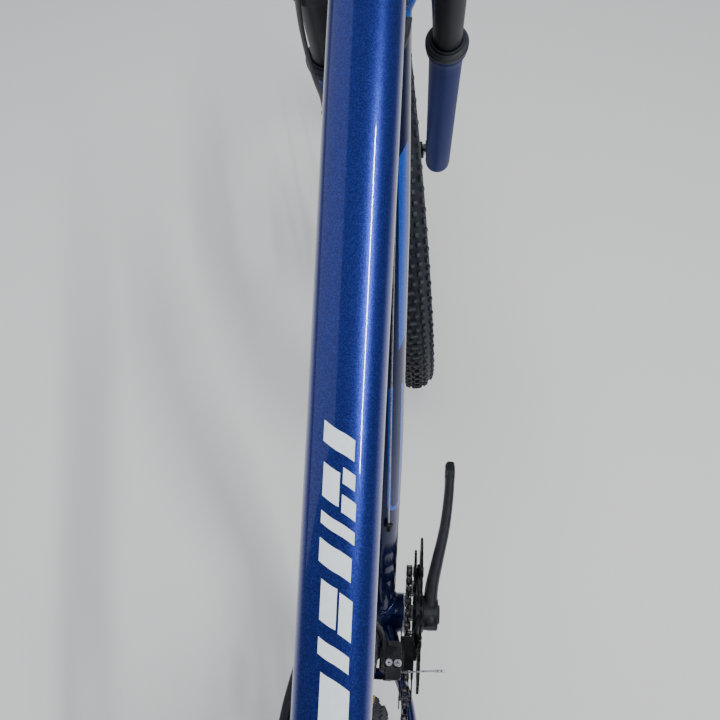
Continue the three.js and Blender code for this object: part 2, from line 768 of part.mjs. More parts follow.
function rdBody() {
  const top = vec(-434, -80, 312);
  const upper = crossBar(top.x, top.z, -88, -REAR_HALF_WIDTH - 6 - GAP, 10);
  const lower = crossBar(GUIDE.x, GUIDE.z, -66, RD_OUTER - 1.9, 12);
  const link = loft(
    [[top.x - 4, -82, 308, 8], [-440, -80, 296, 9], [-434, -63, 280, 9], [GUIDE.x, -58, 274, 8]].map(
      ([x, y, z, w]) => ({
        at: vec(x, y, z),
        across: vec(0.5, 0, 0.87),
        up: vec(0, 1, 0),
        half: [w, 5.5],
        square: 3,
      }),
    ),
    16,
  );
  return join(upper, lower, link);
}

function rdCage() {
  const shape = new THREE.Shape();
  const lean = Math.atan2(TENSION.z - GUIDE.z, TENSION.x - GUIDE.x);
  shape.absarc(GUIDE.x, GUIDE.z, 9, lean + Math.PI / 2, lean + 1.5 * Math.PI, false);
  shape.absarc(TENSION.x, TENSION.z, 9, lean - Math.PI / 2, lean + Math.PI / 2, false);
  const inner = plate(shape, RD_INNER - 0.7, RD_INNER + 0.7, 8);
  const outer = plate(shape, RD_OUTER - 0.7, RD_OUTER + 0.7, 8);
  const axles = [GUIDE, TENSION].map(({ x, z }) => crossBar(x, z, RD_OUTER, RD_INNER, 2.5, 12));
  return join(inner, outer, ...axles);
}

function pulley({ x, z }) {
  const radius = pitchRadius(PULLEY_TEETH) - 4.7;
  const ring = [[2.8, -2.4], [radius, -2.4], [radius, 2.4], [2.8, 2.4]];
  return turned(ring, 28).translate(x, CHAIN_Y, z);
}

addPart(bike, "rear_derailleur_body", rdBody(), BLACK);
addPart(bike, "rear_derailleur_cage", rdCage(), BLACK);
addPart(bike, "guide_pulley", pulley(GUIDE), RUBBER);
addPart(bike, "tension_pulley", pulley(TENSION), RUBBER);

// ---- Gear cable on the down tube ----
// A point beside the upper right of the down tube, at a share of its length.
function besideDownTube(u, clear) {
  const curve = new THREE.CatmullRomCurve3(DOWN_TUBE_PATH);
  const up = vec(0, 0, 0).crossVectors(curve.getTangent(u), Y_AXIS).normalize();
  return curve.getPoint(u).addScaledVector(up, 21.5 + clear).setY(-16 - clear);
}

function cableStop() {
  return bar(besideDownTube(0.829, 4.6), besideDownTube(0.866, 8.5), 4, 4, 16);
}

const CABLE_RUN = [0.2, 0.35, 0.5, 0.65, 0.822].map((u) => besideDownTube(u, 2.6));
const HOUSING_RUN = [
  besideDownTube(0.872, 9.2),
  besideDownTube(0.9, 15),
  vec(417, -38, 832),
  vec(412, -43, 872),
  vec(396, -42, 912),
];

addPart(bike, "cable_stop", cableStop(), GREY);
addPart(bike, "gear_cable", pipe(CABLE_RUN, 0.8, 16), STEEL);
addPart(bike, "gear_cable_housing", pipe(HOUSING_RUN, 2.5, 14), BLUE);

// ---- Suspension fork, in its own frame: origin on the steering axis level with the axle ----
const fork = new THREE.Group();
fork.position.copy(STEER_FOOT);
fork.rotation.y = -rad(90 - HEAD_ANGLE);
bike.add(fork);
const turnedFork = new THREE.Group();
turnedFork.rotation.z = rad(STEER_AT_REST);
fork.add(turnedFork);

const legBar = (side, z0, z1, r0, r1, sides) =>
  bar(vec(LEG_LEAD, side * LEG_SPREAD, z0), vec(LEG_LEAD, side * LEG_SPREAD, z1), r0, r1, sides);

function crown() {
  const route = [
    [-62, LEG_LEAD, 451, 20, 10.5],
    [-40, 9, 459, 19, 11],
    [-20, 3, 467, 22, 11],
    [0, 0, 469, 24, 10.5],
    [20, 3, 467, 22, 11],
    [40, 9, 459, 19, 11],
    [62, LEG_LEAD, 451, 20, 10.5],
  ];
  const arms = loft(
    route.map(([y, x, z, w, h]) => ({
      at: vec(x, y, z),
      across: vec(1, 0, 0),
      up: vec(0, 0, 1),
      half: [w, h],
      square: 3,
    })),
    14,
  );
  const eyes = [-1, 1].map((side) => legBar(side, 440, 462, 21.5, 21.5, 24));
  const seats = [-1, 1].map((side) => legBar(side, 420, 480, 15.3, 15.3, 24));
  const race = bar(vec(0, 0, 456), vec(0, 0, CROWN_RACE), 20);
  const steererHole = bar(vec(0, 0, 440), vec(0, 0, 500), 14.3 + GAP);
  return cut(join(arms, race, ...eyes), ...seats, steererHole);
}

function lowers() {
  const legs = [-1, 1].flatMap((side) => [
    legBar(side, LEG_FOOT + 9, WIPER_HEIGHT, 17, 18, 20),
    legBar(side, LEG_FOOT, LEG_FOOT + 9, 12, 17, 20),
    legBar(side, WIPER_HEIGHT - 12, WIPER_HEIGHT, 19, 21.5, 20),
  ]);
  const bores = [-1, 1].map((side) => legBar(side, 92, 340, 15.3, 15.3, 24));
  const tips = [-1, 1].map((side) => {
    const shape = new THREE.Shape();
    shape.moveTo(4, LEG_FOOT + 8);
    shape.lineTo(FORK_RAKE - 8, -10);
    shape.absarc(FORK_RAKE, 0, 13, rad(-128), rad(60), false);
    shape.lineTo(28, 62);
    shape.lineTo(6, 84);
    shape.closePath();
    const [a, b] = [side * (FRONT_HALF_WIDTH + GAP), side * (FRONT_HALF_WIDTH + 8)];
    return plate(shape, Math.min(a, b), Math.max(a, b));
  });
  const arch = pipe(
    [
      vec(20, -58.5, 288),
      vec(36, -58, 300),
      vec(43, -57, 322),
      vec(45, -55, 350),
      vec(46, -50, 378),
      vec(46, -38, 396),
      vec(46, -20, 403),
      vec(46, 0, 404),
      vec(46, 20, 403),
      vec(46, 38, 396),
      vec(46, 50, 378),
      vec(45, 55, 350),
      vec(43, 57, 322),
      vec(36, 58, 300),
      vec(20, 58.5, 288),
    ],
    7,
    18,
    10,
  );
  const axleHole = crossBar(FORK_RAKE, 0, -70, 70, AXLE_RADIUS + GAP);
  return cut(join(...legs, ...tips, arch), ...bores, axleHole);
}

function wiper(side) {
  const ring = turned(
    [[15.3, 0], [22.5, 0], [22.5, 7], [20.5, 10], [18, 13], [15.3, 13]],
    24,
  );
  ring.rotateX(Math.PI / 2);
  return ring.translate(LEG_LEAD, side * LEG_SPREAD, WIPER_HEIGHT + GAP);
}

const HOSE_RUN = [
  vec(-19.6, 34.7, 63.6),
  vec(-25, 36, 74),
  vec(-25, 46, 108),
  vec(-18, 60, 145),
  vec(-12, 70, 180),
  vec(-10, 75, 230),
  vec(-12, 74, 290),
  vec(-13, 75.5, 320),
  vec(-12, 77, 350),
  vec(-11, 77.5, 380),
  vec(-11, 76.5, 420),
  vec(-13, 74.5, 450),
  vec(-17, 72, 480),
];

addPart(turnedFork, "steerer_tube", bar(vec(0, 0, CROWN_RACE - 22), vec(0, 0, 664), 14.3, 14.3, 28), BLACK);
addPart(turnedFork, "fork_crown", crown(), BLACK);
for (const [name, side] of [["right", -1], ["left", 1]]) {
  addPart(turnedFork, "stanchion_" + name, legBar(side, 196, 461, STANCHION_RADIUS, STANCHION_RADIUS, 24), BLACK);
  addPart(turnedFork, "wiper_" + name, wiper(side), RUBBER);
}
addPart(turnedFork, "fork_lowers", lowers(), BLUE);
addPart(turnedFork, "front_brake_hose", pipe(HOSE_RUN, 2.5, 26), RUBBER);
caliperAt(turnedFork, FORK_RAKE, 0, -45, "front_brake_caliper", FRONT_ROTOR_Y);

const frontWheel = new THREE.Group();
frontWheel.position.x = FORK_RAKE;
turnedFork.add(frontWheel);
addPart(frontWheel, "front_tyre", tyre(), RUBBER);
addPart(frontWheel, "front_rim", rim(), BLACK);
addPart(
  frontWheel,
  "front_hub",
  hub([[-45, 12], ...flange(-32, 21, 14), ...flange(20, 25, 14), [27, 18], [39.5, 18]]),
  BLACK,
);
addPart(frontWheel, "front_brake_rotor", rotor(FRONT_ROTOR_Y), STEEL);
addPart(frontWheel, "front_axle", axle(FRONT_HALF_WIDTH, 58, 57.8), STEEL);
addPart(frontWheel, "front_quick_release_lever", quickRelease(58 + GAP), STEEL);

export default bike;
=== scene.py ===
import json
import math

import bmesh
import bpy
from mathutils import Matrix, Vector
from mathutils.geometry import tessellate_polygon


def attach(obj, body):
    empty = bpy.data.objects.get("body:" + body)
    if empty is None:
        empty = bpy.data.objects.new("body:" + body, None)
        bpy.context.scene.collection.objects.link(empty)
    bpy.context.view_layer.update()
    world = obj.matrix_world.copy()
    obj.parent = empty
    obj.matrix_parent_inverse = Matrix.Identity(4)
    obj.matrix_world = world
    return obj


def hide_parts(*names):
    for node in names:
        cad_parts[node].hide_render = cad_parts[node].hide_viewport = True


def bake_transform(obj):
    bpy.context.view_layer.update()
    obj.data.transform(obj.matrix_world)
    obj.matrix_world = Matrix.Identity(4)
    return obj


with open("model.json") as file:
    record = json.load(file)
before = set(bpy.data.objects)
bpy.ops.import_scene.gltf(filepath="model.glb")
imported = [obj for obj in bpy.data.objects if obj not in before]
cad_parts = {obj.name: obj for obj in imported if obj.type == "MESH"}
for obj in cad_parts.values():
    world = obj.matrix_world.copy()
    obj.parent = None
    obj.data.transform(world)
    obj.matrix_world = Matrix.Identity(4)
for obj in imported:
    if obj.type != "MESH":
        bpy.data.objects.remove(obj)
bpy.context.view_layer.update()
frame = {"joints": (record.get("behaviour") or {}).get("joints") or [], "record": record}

MM = 0.001
UP = Vector((0, 0, 1))
ALONG_Y = Matrix.Rotation(math.radians(-90), 4, "X")  # turns a shape's Z to Y
ALONG_X = Matrix.Rotation(math.radians(90), 4, "Y")
PITCH = 12.7
CHAIN_Y = -41.5
WHEEL_RADIUS = 350
RIM_RADIUS = 299


def turn(axis, degrees):
    return Matrix.Rotation(math.radians(degrees), 4, axis)


def shift(x, y, z):
    return Matrix.Translation((x, y, z))


def arc(x, z, radius, degrees):
    """Points round a centre, at the given angles."""
    angles = [math.radians(a) for a in degrees]
    return [(x + radius * math.cos(a), z + radius * math.sin(a)) for a in angles]


# ---- Camera ----
camera = bpy.data.objects.new("camera", bpy.data.cameras.new("camera"))
bpy.context.scene.collection.objects.link(camera)
bpy.context.scene.camera = camera
camera.data.sensor_width = 36
camera.data.lens = 36.046
camera.data.clip_start = 0.02
camera.matrix_world = (
    shift(-0.2214, -0.0407, 1.1585)
    @ turn("Z", 9.741 - 90)
    @ turn("X", 27.541)
    @ turn("Z", -6.519)
)

# ---- Local frames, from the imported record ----
joints = {j["name"]: j for j in frame["joints"]}


def at_joint(name):
    return Vector(joints[name]["pos_m"])


def axes(origin, y, z):
    y, z = y.normalized(), z.normalized()
    return Matrix.Translation(origin) @ Matrix((y.cross(z), y, z)).transposed().to_4x4()


LEFT = Vector((0, 1, 0))
bottom_bracket = at_joint("crank_spin")
steer_up = Vector(joints["steering"]["axis"]).normalized()
front_axis = Vector(joints["front_wheel_spin"]["axis"]).normalized()
seat_up = Vector(frame["record"]["mounts"][0]["axis"]).normalized()
BIKE = shift(bottom_bracket.x, 0, 0)
SEAT = axes(bottom_bracket, LEFT, seat_up)
HEAD = axes(at_joint("steering"), LEFT, steer_up)
FORK = axes(at_joint("steering"), front_axis, steer_up)
FRONT = axes(at_joint("front_wheel_spin"), front_axis, steer_up)
REAR = axes(at_joint("rear_wheel_spin"), LEFT, UP)
CRANK = axes(bottom_bracket, LEFT, UP) @ turn("Y", 4.2)


def in_bike(point):
    return (BIKE.inverted() @ point) / MM


def on_seat(s):
    return in_bike(bottom_bracket + seat_up * s * MM)


def on_steer(s):
    return in_bike(at_joint("steering") + steer_up * s * MM)


# ---- Shapes ----
class Shape:
    """Points in millimetres and faces, each with the number of its material."""

    def __init__(self):
        self.points = []
        self.faces = []
        self.kinds = []

    def add(self, points, faces, kind=0):
        base = len(self.points)
        self.points += [Vector(p) for p in points]
        self.faces += [[base + i for i in face] for face in faces]
        self.kinds += [kind] * len(faces)
        return self

    def put(self, other, at=None, kind=None):
        at = at or Matrix.Identity(4)
        base = len(self.points)
        self.points += [at @ p for p in other.points]
        self.faces += [[base + i for i in face] for face in other.faces]
        self.kinds += other.kinds if kind is None else [kind] * len(other.faces)
        return self


def skin(rings, closed=False, capped=True, kind=0):
    """A surface over rings with the same number of points."""
    n = len(rings[0])
    faces = []
    last = len(rings) if closed else len(rings) - 1
    for k in range(last):
        a, b = k * n, (k + 1) % len(rings) * n
        for i in range(n):
            j = (i + 1) % n
            faces.append([a + i, a + j, b + j, b + i])
    if capped and not closed:
        faces.append(list(range(n))[::-1])
        faces.append([(len(rings) - 1) * n + i for i in range(n)])
    return Shape().add([p for ring in rings for p in ring], faces, kind)


def oval(half_width, half_height, square=2.0, sides=40):
    ring = []
    for i in range(sides):
        angle = 2 * math.pi * i / sides
        c, s = math.cos(angle), math.sin(angle)
        x = math.copysign(abs(c) ** (2 / square), c) * half_width
        y = math.copysign(abs(s) ** (2 / square), s) * half_height
        ring.append((x, y))
    return ring


def circle(radius, sides=40, x=0, y=0):
    return [(x + a, y + b) for a, b in oval(radius, radius, 2, sides)]


def spline(rows, steps):
    """Rows of numbers joined by a smooth curve, with steps new rows for each old one."""
    rows = [Vector(r) for r in rows]
    made = []
    for i in range(len(rows) - 1):
        b, c = rows[i], rows[i + 1]
        a = rows[i - 1] if i else 2 * b - c
        d = rows[i + 2] if i + 2 < len(rows) else 2 * c - b
        for k in range(steps):
            t = k / steps
            cubic = (3 * b - a - 3 * c + d) * t**3
            made.append((2 * b + (c - a) * t + (2 * a - 5 * b + 4 * c - d) * t**2 + cubic) / 2)
    made.append(rows[-1])
    return made


def loft(stations, square=2.0, sides=40, kind=0):
    """Oval sections, each (centre, across, up, half width, half height)."""
    rings = []
    for at, across, up, w, h in stations:
        rings.append([at + across * x + up * y for x, y in oval(w, h, square, sides)])
    return skin(rings, kind=kind)


def tube(points, radius, sides=16, closed=False, kind=0):
    """A round cord along points. The radius is a number or a function of the share along."""
    points = [Vector(p) for p in points]
    rings = []
    normal = None
    n = len(points)
    for i, p in enumerate(points):
        before = points[i - 1] if i or closed else p
        after = points[(i + 1) % n] if i < n - 1 or closed else p
        along = (after - before).normalized()
        if normal is None:
            normal = along.orthogonal()
        normal = (normal - along * normal.dot(along)).normalized()
        other = along.cross(normal)
        r = radius(i / n) if callable(radius) else radius
        rings.append([p + normal * x + other * y for x, y in circle(r, sides)])
    return skin(rings, closed=closed, kind=kind)


def lathe(profile, sides=72, kind=0):
    """A body turned about Z from a closed list of (radius, height)."""
    rings = []
    for i in range(sides):
        angle = 2 * math.pi * i / sides
        c, s = math.cos(angle), math.sin(angle)
        rings.append([Vector((r * c, r * s, z)) for r, z in profile])
    return skin(rings, closed=True, kind=kind)


def rod(length, radius, end_radius=None, edge=0.4, sides=32, kind=0):
    """A round bar up Z from the origin, with broken edges."""
    top = radius if end_radius is None else end_radius
    profile = [(radius - edge, 0), (radius, edge), (top, length - edge), (top - edge, length)]
    rings = [[Vector((x, y, z)) for x, y in circle(r, sides)] for r, z in profile]
    return skin(rings, kind=kind)


def between(a, b):
    """A frame at a whose Z points to b, and the distance."""
    a, b = Vector(a), Vector(b)
    z = (b - a).normalized()
    x = z.orthogonal().normalized()
    turned = Matrix((x, z.cross(x), z)).transposed().to_4x4()
    return Matrix.Translation(a) @ turned, (b - a).length


def bar(a, b, radius, end_radius=None, edge=0.4, sides=32, kind=0):
    place, length = between(a, b)
    return Shape().put(rod(length, radius, end_radius, edge, sides, kind), place)


def plate(loops, low, high, kind=0, wall=None):
    """A flat plate in the X-Y plane with an outline and holes, from low to high in Z."""
    wall = kind if wall is None else wall
    shape = Shape()
    flat = [[Vector((x, y, 0)) for x, y in loop] for loop in loops]
    triangles = tessellate_polygon(flat)
    points = [p for loop in flat for p in loop]
    shape.add([p + UP * low for p in points], [t[::-1] for t in triangles], kind)
    shape.add([p + UP * high for p in points], [list(t) for t in triangles], kind)
    count = len(points)
    start = 0
    for loop in flat:
        n = len(loop)
        for i in range(n):
            a, b = start + i, start + (i + 1) % n
            shape.faces.append([a, b, b + count, a + count])
            shape.kinds.append(wall)
        start += n
    return shape


def block(size, corner=1.5, kind=0):
    """A box about the origin with rounded vertical edges."""
    x, y, z = (v / 2 for v in size)
    return plate([oval_box(x, y, corner)], -z, z, kind)


def oval_box(x, y, corner):
    ring = []
    for cx, cy, start in ((1, 1, 0), (-1, 1, 90), (-1, -1, 180), (1, -1, 270)):
        for k in range(5):
            angle = math.radians(start + 22.5 * k)
            px = cx * (x - corner) + corner * math.cos(angle)
            ring.append((px, cy * (y - corner) + corner * math.sin(angle)))
    return ring


def screw(radius, height, drive="hex", kind=0, inside=0):
    """A screw's head up Z, with a hexagon or a cross in it."""
    sides = 24

    def recess(i):
        angle = 2 * math.pi * i / sides
        if drive == "hex":
            step = math.radians(60)
            return radius * 0.5 / math.cos((angle % step) - step / 2)
        return radius * (0.74 if i % 6 == 0 else 0.2)

    outline = [2 * math.pi * i / sides for i in range(sides)]

    def ring(z, r):
        return [Vector((r(i) * math.cos(a), r(i) * math.sin(a), z)) for i, a in enumerate(outline)]

    rings = [
        ring(0, lambda i: radius),
        ring(height * 0.75, lambda i: radius),
        ring(height, lambda i: radius * 0.82),
        ring(height, recess),
        ring(height * 0.35, lambda i: recess(i) * 0.9),
    ]
    head = skin(rings, kind=kind)
    head.kinds[3 * sides : 4 * sides] = [inside] * sides
    head.kinds[-1] = inside
    return head


def gear(teeth, tip=2.5, root=-3.9):
    """A sprocket's outline for half-inch chain."""
    pitch_radius = teeth * PITCH / (2 * math.pi)
    step = 2 * math.pi / teeth
    flanks = [
        (-0.5, root), (-0.34, root + 0.9), (-0.2, 0), (-0.09, tip), (0.09, tip), (0.2, 0),
        (0.34, root + 0.9)
    ]
    ring = []
    for i in range(teeth):
        for share, height in flanks:
            angle = step * (i + share)
            r = pitch_radius + height
            ring.append((r * math.cos(angle), r * math.sin(angle)))
    return ring


def tabbed(radius, reach, count, start=0.0, half=0.2):
    """A hole's outline with tabs that reach in to a smaller radius."""
    ring = []
    for i in range(180):
        angle = 2 * math.pi * i / 180
        near = (angle - math.radians(start) + math.pi / count) % (2 * math.pi / count) - math.pi / count
        share = max(0.0, 1 - abs(near) / half)
        r = radius + (reach - radius) * min(1.0, 1.6 * share) ** 0.8
        ring.append((r * math.cos(angle), r * math.sin(angle)))
    return ring


def sector(low, high, start, stop, steps=10):
    """The outline of part of a ring, in degrees."""
    outer = [math.radians(start + (stop - start) * k / steps) for k in range(steps + 1)]
    ring = [(high * math.cos(a), high * math.sin(a)) for a in outer]
    return ring + [(low * math.cos(a), low * math.sin(a)) for a in outer[::-1]]


# ---- Materials ----
def look(name, color, roughness=0.4, metallic=0.0, coat=0.0, coat_roughness=0.03):
    material = bpy.data.materials.new(name)
    material.use_nodes = True
    shader = material.node_tree.nodes["Principled BSDF"]
    shader.inputs["Base Color"].default_value = (*color, 1)
    shader.inputs["Roughness"].default_value = roughness
    shader.inputs["Metallic"].default_value = metallic
    shader.inputs["Coat Weight"].default_value = coat
    shader.inputs["Coat Roughness"].default_value = coat_roughness
    return material, material.node_tree, shader


def node(tree, kind, **settings):
    made = tree.nodes.new("ShaderNode" + kind)
    for key, value in settings.items():
        if key in made.inputs:
            made.inputs[key].default_value = value
        else:
            setattr(made, key, value)
    return made


def place_of(tree):
    return node(tree, "TexCoord").outputs["Object"]


def paint(name, color, bright, metallic=0.75, roughness=0.33, flake=0.1, coat=1.0, coat_roughness=0.025):
    """Metallic paint: flakes that tilt and shine each its own way, under clear lacquer."""
    material, tree, shader = look(name, color, roughness, metallic, coat, coat_roughness)
    cells = node(tree, "TexVoronoi", Scale=1700.0)
    tree.links.new(place_of(tree), cells.inputs["Vector"])
    shade = node(tree, "ValToRGB")
    shade.color_ramp.elements[0].color = (*color, 1)
    shade.color_ramp.elements[1].color = (*bright, 1)
    shade.color_ramp.elements[0].position = 0.35
    tree.links.new(cells.outputs["Color"], shade.inputs["Fac"])
    tree.links.new(shade.outputs["Color"], shader.inputs["Base Color"])
    bump = node(tree, "Bump", Strength=flake, Distance=0.0003)
    tree.links.new(cells.outputs["Color"], bump.inputs["Height"])
    tree.links.new(bump.outputs["Normal"], shader.inputs["Normal"])
    peel = node(tree, "TexNoise", Scale=160.0, Detail=2.0)
    tree.links.new(place_of(tree), peel.inputs["Vector"])
    ripple = node(tree, "Bump", Strength=0.02, Distance=0.0006)
    tree.links.new(peel.outputs["Fac"], ripple.inputs["Height"])
    tree.links.new(ripple.outputs["Normal"], shader.inputs["Coat Normal"])
    return material


def worn(name, color, other, roughness, rough_other, metallic, scale=90.0, bump=0.05, grain=0.0004, coat=0.0):
    """A plain finish whose colour, shine and surface vary a little from place to place."""
    material, tree, shader = look(name, color, roughness, metallic, coat)
    noise = node(tree, "TexNoise", Scale=scale, Detail=6.0, Roughness=0.65)
    tree.links.new(place_of(tree), noise.inputs["Vector"])
    shade = node(tree, "ValToRGB")
    shade.color_ramp.elements[0].color = (*color, 1)
    shade.color_ramp.elements[1].color = (*other, 1)
    shade.color_ramp.elements[0].position = 0.38
    shade.color_ramp.elements[1].position = 0.68
    tree.links.new(noise.outputs["Fac"], shade.inputs["Fac"])
    tree.links.new(shade.outputs["Color"], shader.inputs["Base Color"])
    spread = node(tree, "MapRange")
    spread.inputs["From Min"].default_value = 0.3
    spread.inputs["From Max"].default_value = 0.7
    spread.inputs["To Min"].default_value = roughness
    spread.inputs["To Max"].default_value = rough_other
    tree.links.new(noise.outputs["Fac"], spread.inputs["Value"])
    tree.links.new(spread.outputs["Result"], shader.inputs["Roughness"])
    fine = node(tree, "TexNoise", Scale=scale * 14, Detail=3.0)
    tree.links.new(place_of(tree), fine.inputs["Vector"])
    relief = node(tree, "Bump", Strength=bump * 4, Distance=grain)
    tree.links.new(fine.outputs["Fac"], relief.inputs["Height"])
    tree.links.new(relief.outputs["Normal"], shader.inputs["Normal"])
    return material


def tread_rubber(name, line_at=None):
    """Tyre rubber. line_at is where, across the wheel, the maker's yellow line runs."""
    material = worn(name, (0.009, 0.012, 0.019), (0.022, 0.028, 0.04), 0.5, 0.72, 0.0, 60.0, 0.12)
    if line_at is not None:
        tree = material.node_tree
        shader = tree.nodes["Principled BSDF"]
        rubber = shader.inputs["Base Color"].links[0].from_socket
        split = node(tree, "SeparateXYZ")
        tree.links.new(place_of(tree), split.inputs["Vector"])
        band = node(tree, "Math", operation="COMPARE")
        band.inputs[1].default_value = line_at
        band.inputs[2].default_value = 0.0012
        tree.links.new(split.outputs["Y"], band.inputs[0])
        mix = node(tree, "Mix", data_type="RGBA")
        mix.inputs["B"].default_value = (0.5, 0.42, 0.02, 1)
        tree.links.new(band.outputs["Value"], mix.inputs["Factor"])
        tree.links.new(rubber, mix.inputs["A"])
        tree.links.new(mix.outputs["Result"], shader.inputs["Base Color"])
    return material


BLUE = paint("frame_blue", (0.009, 0.02, 0.2), (0.03, 0.065, 0.42))
NAVY = paint("frame_navy", (0.003, 0.008, 0.06), (0.008, 0.02, 0.14))
STRIPE = paint("stripe_blue", (0.008, 0.07, 0.5), (0.03, 0.16, 0.85), 0.4)
WHITE = worn("decal_white", (0.72, 0.8, 0.84), (0.78, 0.86, 0.9), 0.3, 0.36, 0.0, 300.0, 0.01, coat=1.0)
FORK_BLUE = paint("fork_blue", (0.01, 0.024, 0.15), (0.016, 0.036, 0.21), 0.25, 0.5, 0.06, 0.0, 0.2)
FORK_BLUE.node_tree.nodes["Principled BSDF"].inputs["Specular IOR Level"].default_value = 0.12
ANODISED = worn("anodised_black", (0.006, 0.009, 0.015), (0.011, 0.015, 0.024), 0.42, 0.5, 0.5, 120.0, 0.08)
BLACK_METAL = worn("black_metal", (0.01, 0.011, 0.013), (0.03, 0.031, 0.035), 0.28, 0.45, 0.6, 80.0, 0.05)
CRANK_GREY = worn("crank_grey", (0.032, 0.035, 0.043), (0.046, 0.049, 0.058), 0.42, 0.5, 0.7, 140.0, 0.08)
RING_BLACK = worn("ring_black", (0.008, 0.009, 0.011), (0.02, 0.02, 0.024), 0.3, 0.45, 0.5, 100.0, 0.04)
STEEL = worn("bright_steel", (0.62, 0.63, 0.65), (0.78, 0.79, 0.81), 0.22, 0.38, 1.0, 150.0, 0.03)
CHAIN_STEEL = worn("chain_steel", (0.32, 0.31, 0.3), (0.6, 0.59, 0.57), 0.2, 0.38, 1.0, 220.0, 0.04)
CHAIN_DARK = worn("chain_dark", (0.02, 0.02, 0.021), (0.12, 0.118, 0.115), 0.28, 0.5, 0.9, 260.0, 0.06)
RUBBER = tread_rubber("tyre_rubber")
# Lighter rubber for the tops of the tread blocks: a painted highlight where light catches the knob tops.
KNOB_TOP_HIGHLIGHT_RUBBER = worn(
    "tyre_knob_top_painted_highlight", (0.03, 0.036, 0.048), (0.075, 0.085, 0.105), 0.6, 0.8, 0.0, 190.0, 0.14
)
LINED_RUBBER = tread_rubber("tyre_rubber_lined", -0.0115)
SEAL = worn("seal_rubber", (0.018, 0.022, 0.03), (0.032, 0.038, 0.05), 0.38, 0.55, 0.0, 90.0, 0.05)
HOSE = worn("hose_plastic", (0.012, 0.016, 0.03), (0.02, 0.024, 0.04), 0.3, 0.4, 0.0, 200.0, 0.03)
HOUSING = worn("housing_blue", (0.02, 0.08, 0.4), (0.03, 0.1, 0.46), 0.22, 0.3, 0.0, 200.0, 0.03, coat=0.5)
PLASTIC = worn("pulley_plastic", (0.014, 0.014, 0.016), (0.03, 0.03, 0.032), 0.45, 0.6, 0.0, 150.0, 0.06)


# ---- Building a piece ----
def build(name, shape, looks, at, body, replaces=(), sharp=38, bevel=0.0):
    mesh = bpy.data.meshes.new(name)
    mesh.from_pydata([at @ (p * MM) for p in shape.points], [], shape.faces)
    for material in looks:
        mesh.materials.append(material)
    mesh.polygons.foreach_set("material_index", shape.kinds)
    edit = bmesh.new()
    edit.from_mesh(mesh)
    bmesh.ops.remove_doubles(edit, verts=edit.verts, dist=2e-6)
    bmesh.ops.recalc_face_normals(edit, faces=edit.faces)
    for face in edit.faces:
        face.smooth = True
    for edge in edit.edges:
        edge.smooth = len(edge.link_faces) == 2 and edge.calc_face_angle() < math.radians(sharp)
    edit.to_mesh(mesh)
    edit.free()
    piece = bpy.data.objects.new(name, mesh)
    bpy.context.scene.collection.objects.link(piece)
    if bevel:
        modifier = piece.modifiers.new("edges", "BEVEL")
        modifier.width = bevel * MM
        modifier.segments = 2
        modifier.limit_method = "ANGLE"
        modifier.angle_limit = math.radians(40)
        modifier.harden_normals = True
        modifier.use_clamp_overlap = True
    if body:
        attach(piece, body)
    if replaces:
        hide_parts(*replaces)
    return piece


def surface(path, halves, square):
    """A tube's skin: a function of millimetres along it and round it from its top line, to the right."""
    centres = spline(path, 24)
    lengths = [0.0]
    for a, b in zip(centres, centres[1:]):
        lengths.append(lengths[-1] + (b - a).length)
    total = lengths[-1]

    def section(s):
        s = min(max(s, 0.0), total)
        k = max(i for i, length in enumerate(lengths) if length <= s + 1e-9)
        k = min(k, len(centres) - 2)
        share = (s - lengths[k]) / (lengths[k + 1] - lengths[k])
        at = centres[k].lerp(centres[k + 1], share)
        along = (centres[k + 1] - centres[k]).normalized()
        place = s / total * (len(halves) - 1)
        i = min(int(place), len(halves) - 2)
        w, h = (halves[i][j] + (halves[i + 1][j] - halves[i][j]) * (place - i) for j in (0, 1))
        return at, along.cross(LEFT).normalized(), w, h

    def point(s, round_, lift=0.0):
        at, up, w, h = section(s)
        angle = math.radians(90) + 2 * round_ / (w + h)
        c, s_ = math.cos(angle), math.sin(angle)
        x = math.copysign(abs(c) ** (2 / square), c) * (w + lift)
        y = math.copysign(abs(s_) ** (2 / square), s_) * (h + lift)
        return at + LEFT * x + up * y

    point.length = total
    point.section = section
    return point


def tube_shape(skin_of, start, stop, rows=70, sides=96):
    rings = []
    for k in range(rows + 1):
        s = start + (stop - start) * k / rows
        _, _, w, h = skin_of.section(s)
        girth = math.pi * (w + h)
        rings.append([skin_of(s, girth * i / sides) for i in range(sides)])
    return skin(rings)


def patch(skin_of, corners, lift=0.12, rows=24, columns=8):
    """Graphics laid on a tube: four corners, each (along, round), filled smoothly."""
    a, b, c, d = (Vector(p) for p in corners)
    points, faces = [], []
    for i in range(rows + 1):
        left, right = a.lerp(d, i / rows), b.lerp(c, i / rows)
        for j in range(columns + 1):
            s, w = left.lerp(right, j / columns)
            points.append(skin_of(s, w, lift))
    for i in range(rows):
        for j in range(columns):
            k = i * (columns + 1) + j
            faces.append([k, k + 1, k + columns + 2, k + columns + 1])
    return Shape().add(points, faces)


def stripe(skin_of, line, width, lift=0.12, columns=3):
    """A band of even width along a line of (along, round) on a tube."""
    line = [Vector(p) for p in line]
    points, faces = [], []
    for i, p in enumerate(line):
        along = (line[min(i + 1, len(line) - 1)] - line[max(i - 1, 0)]).normalized()
        side = Vector((-along.y, along.x))
        for j in range(columns + 1):
            s, w = p + side * width * (j / columns - 0.5)
            points.append(skin_of(s, w, lift))
    for i in range(len(line) - 1):
        for j in range(columns):
            k = i * (columns + 1) + j
            faces.append([k, k + 1, k + columns + 2, k + columns + 1])
    return Shape().add(points, faces)


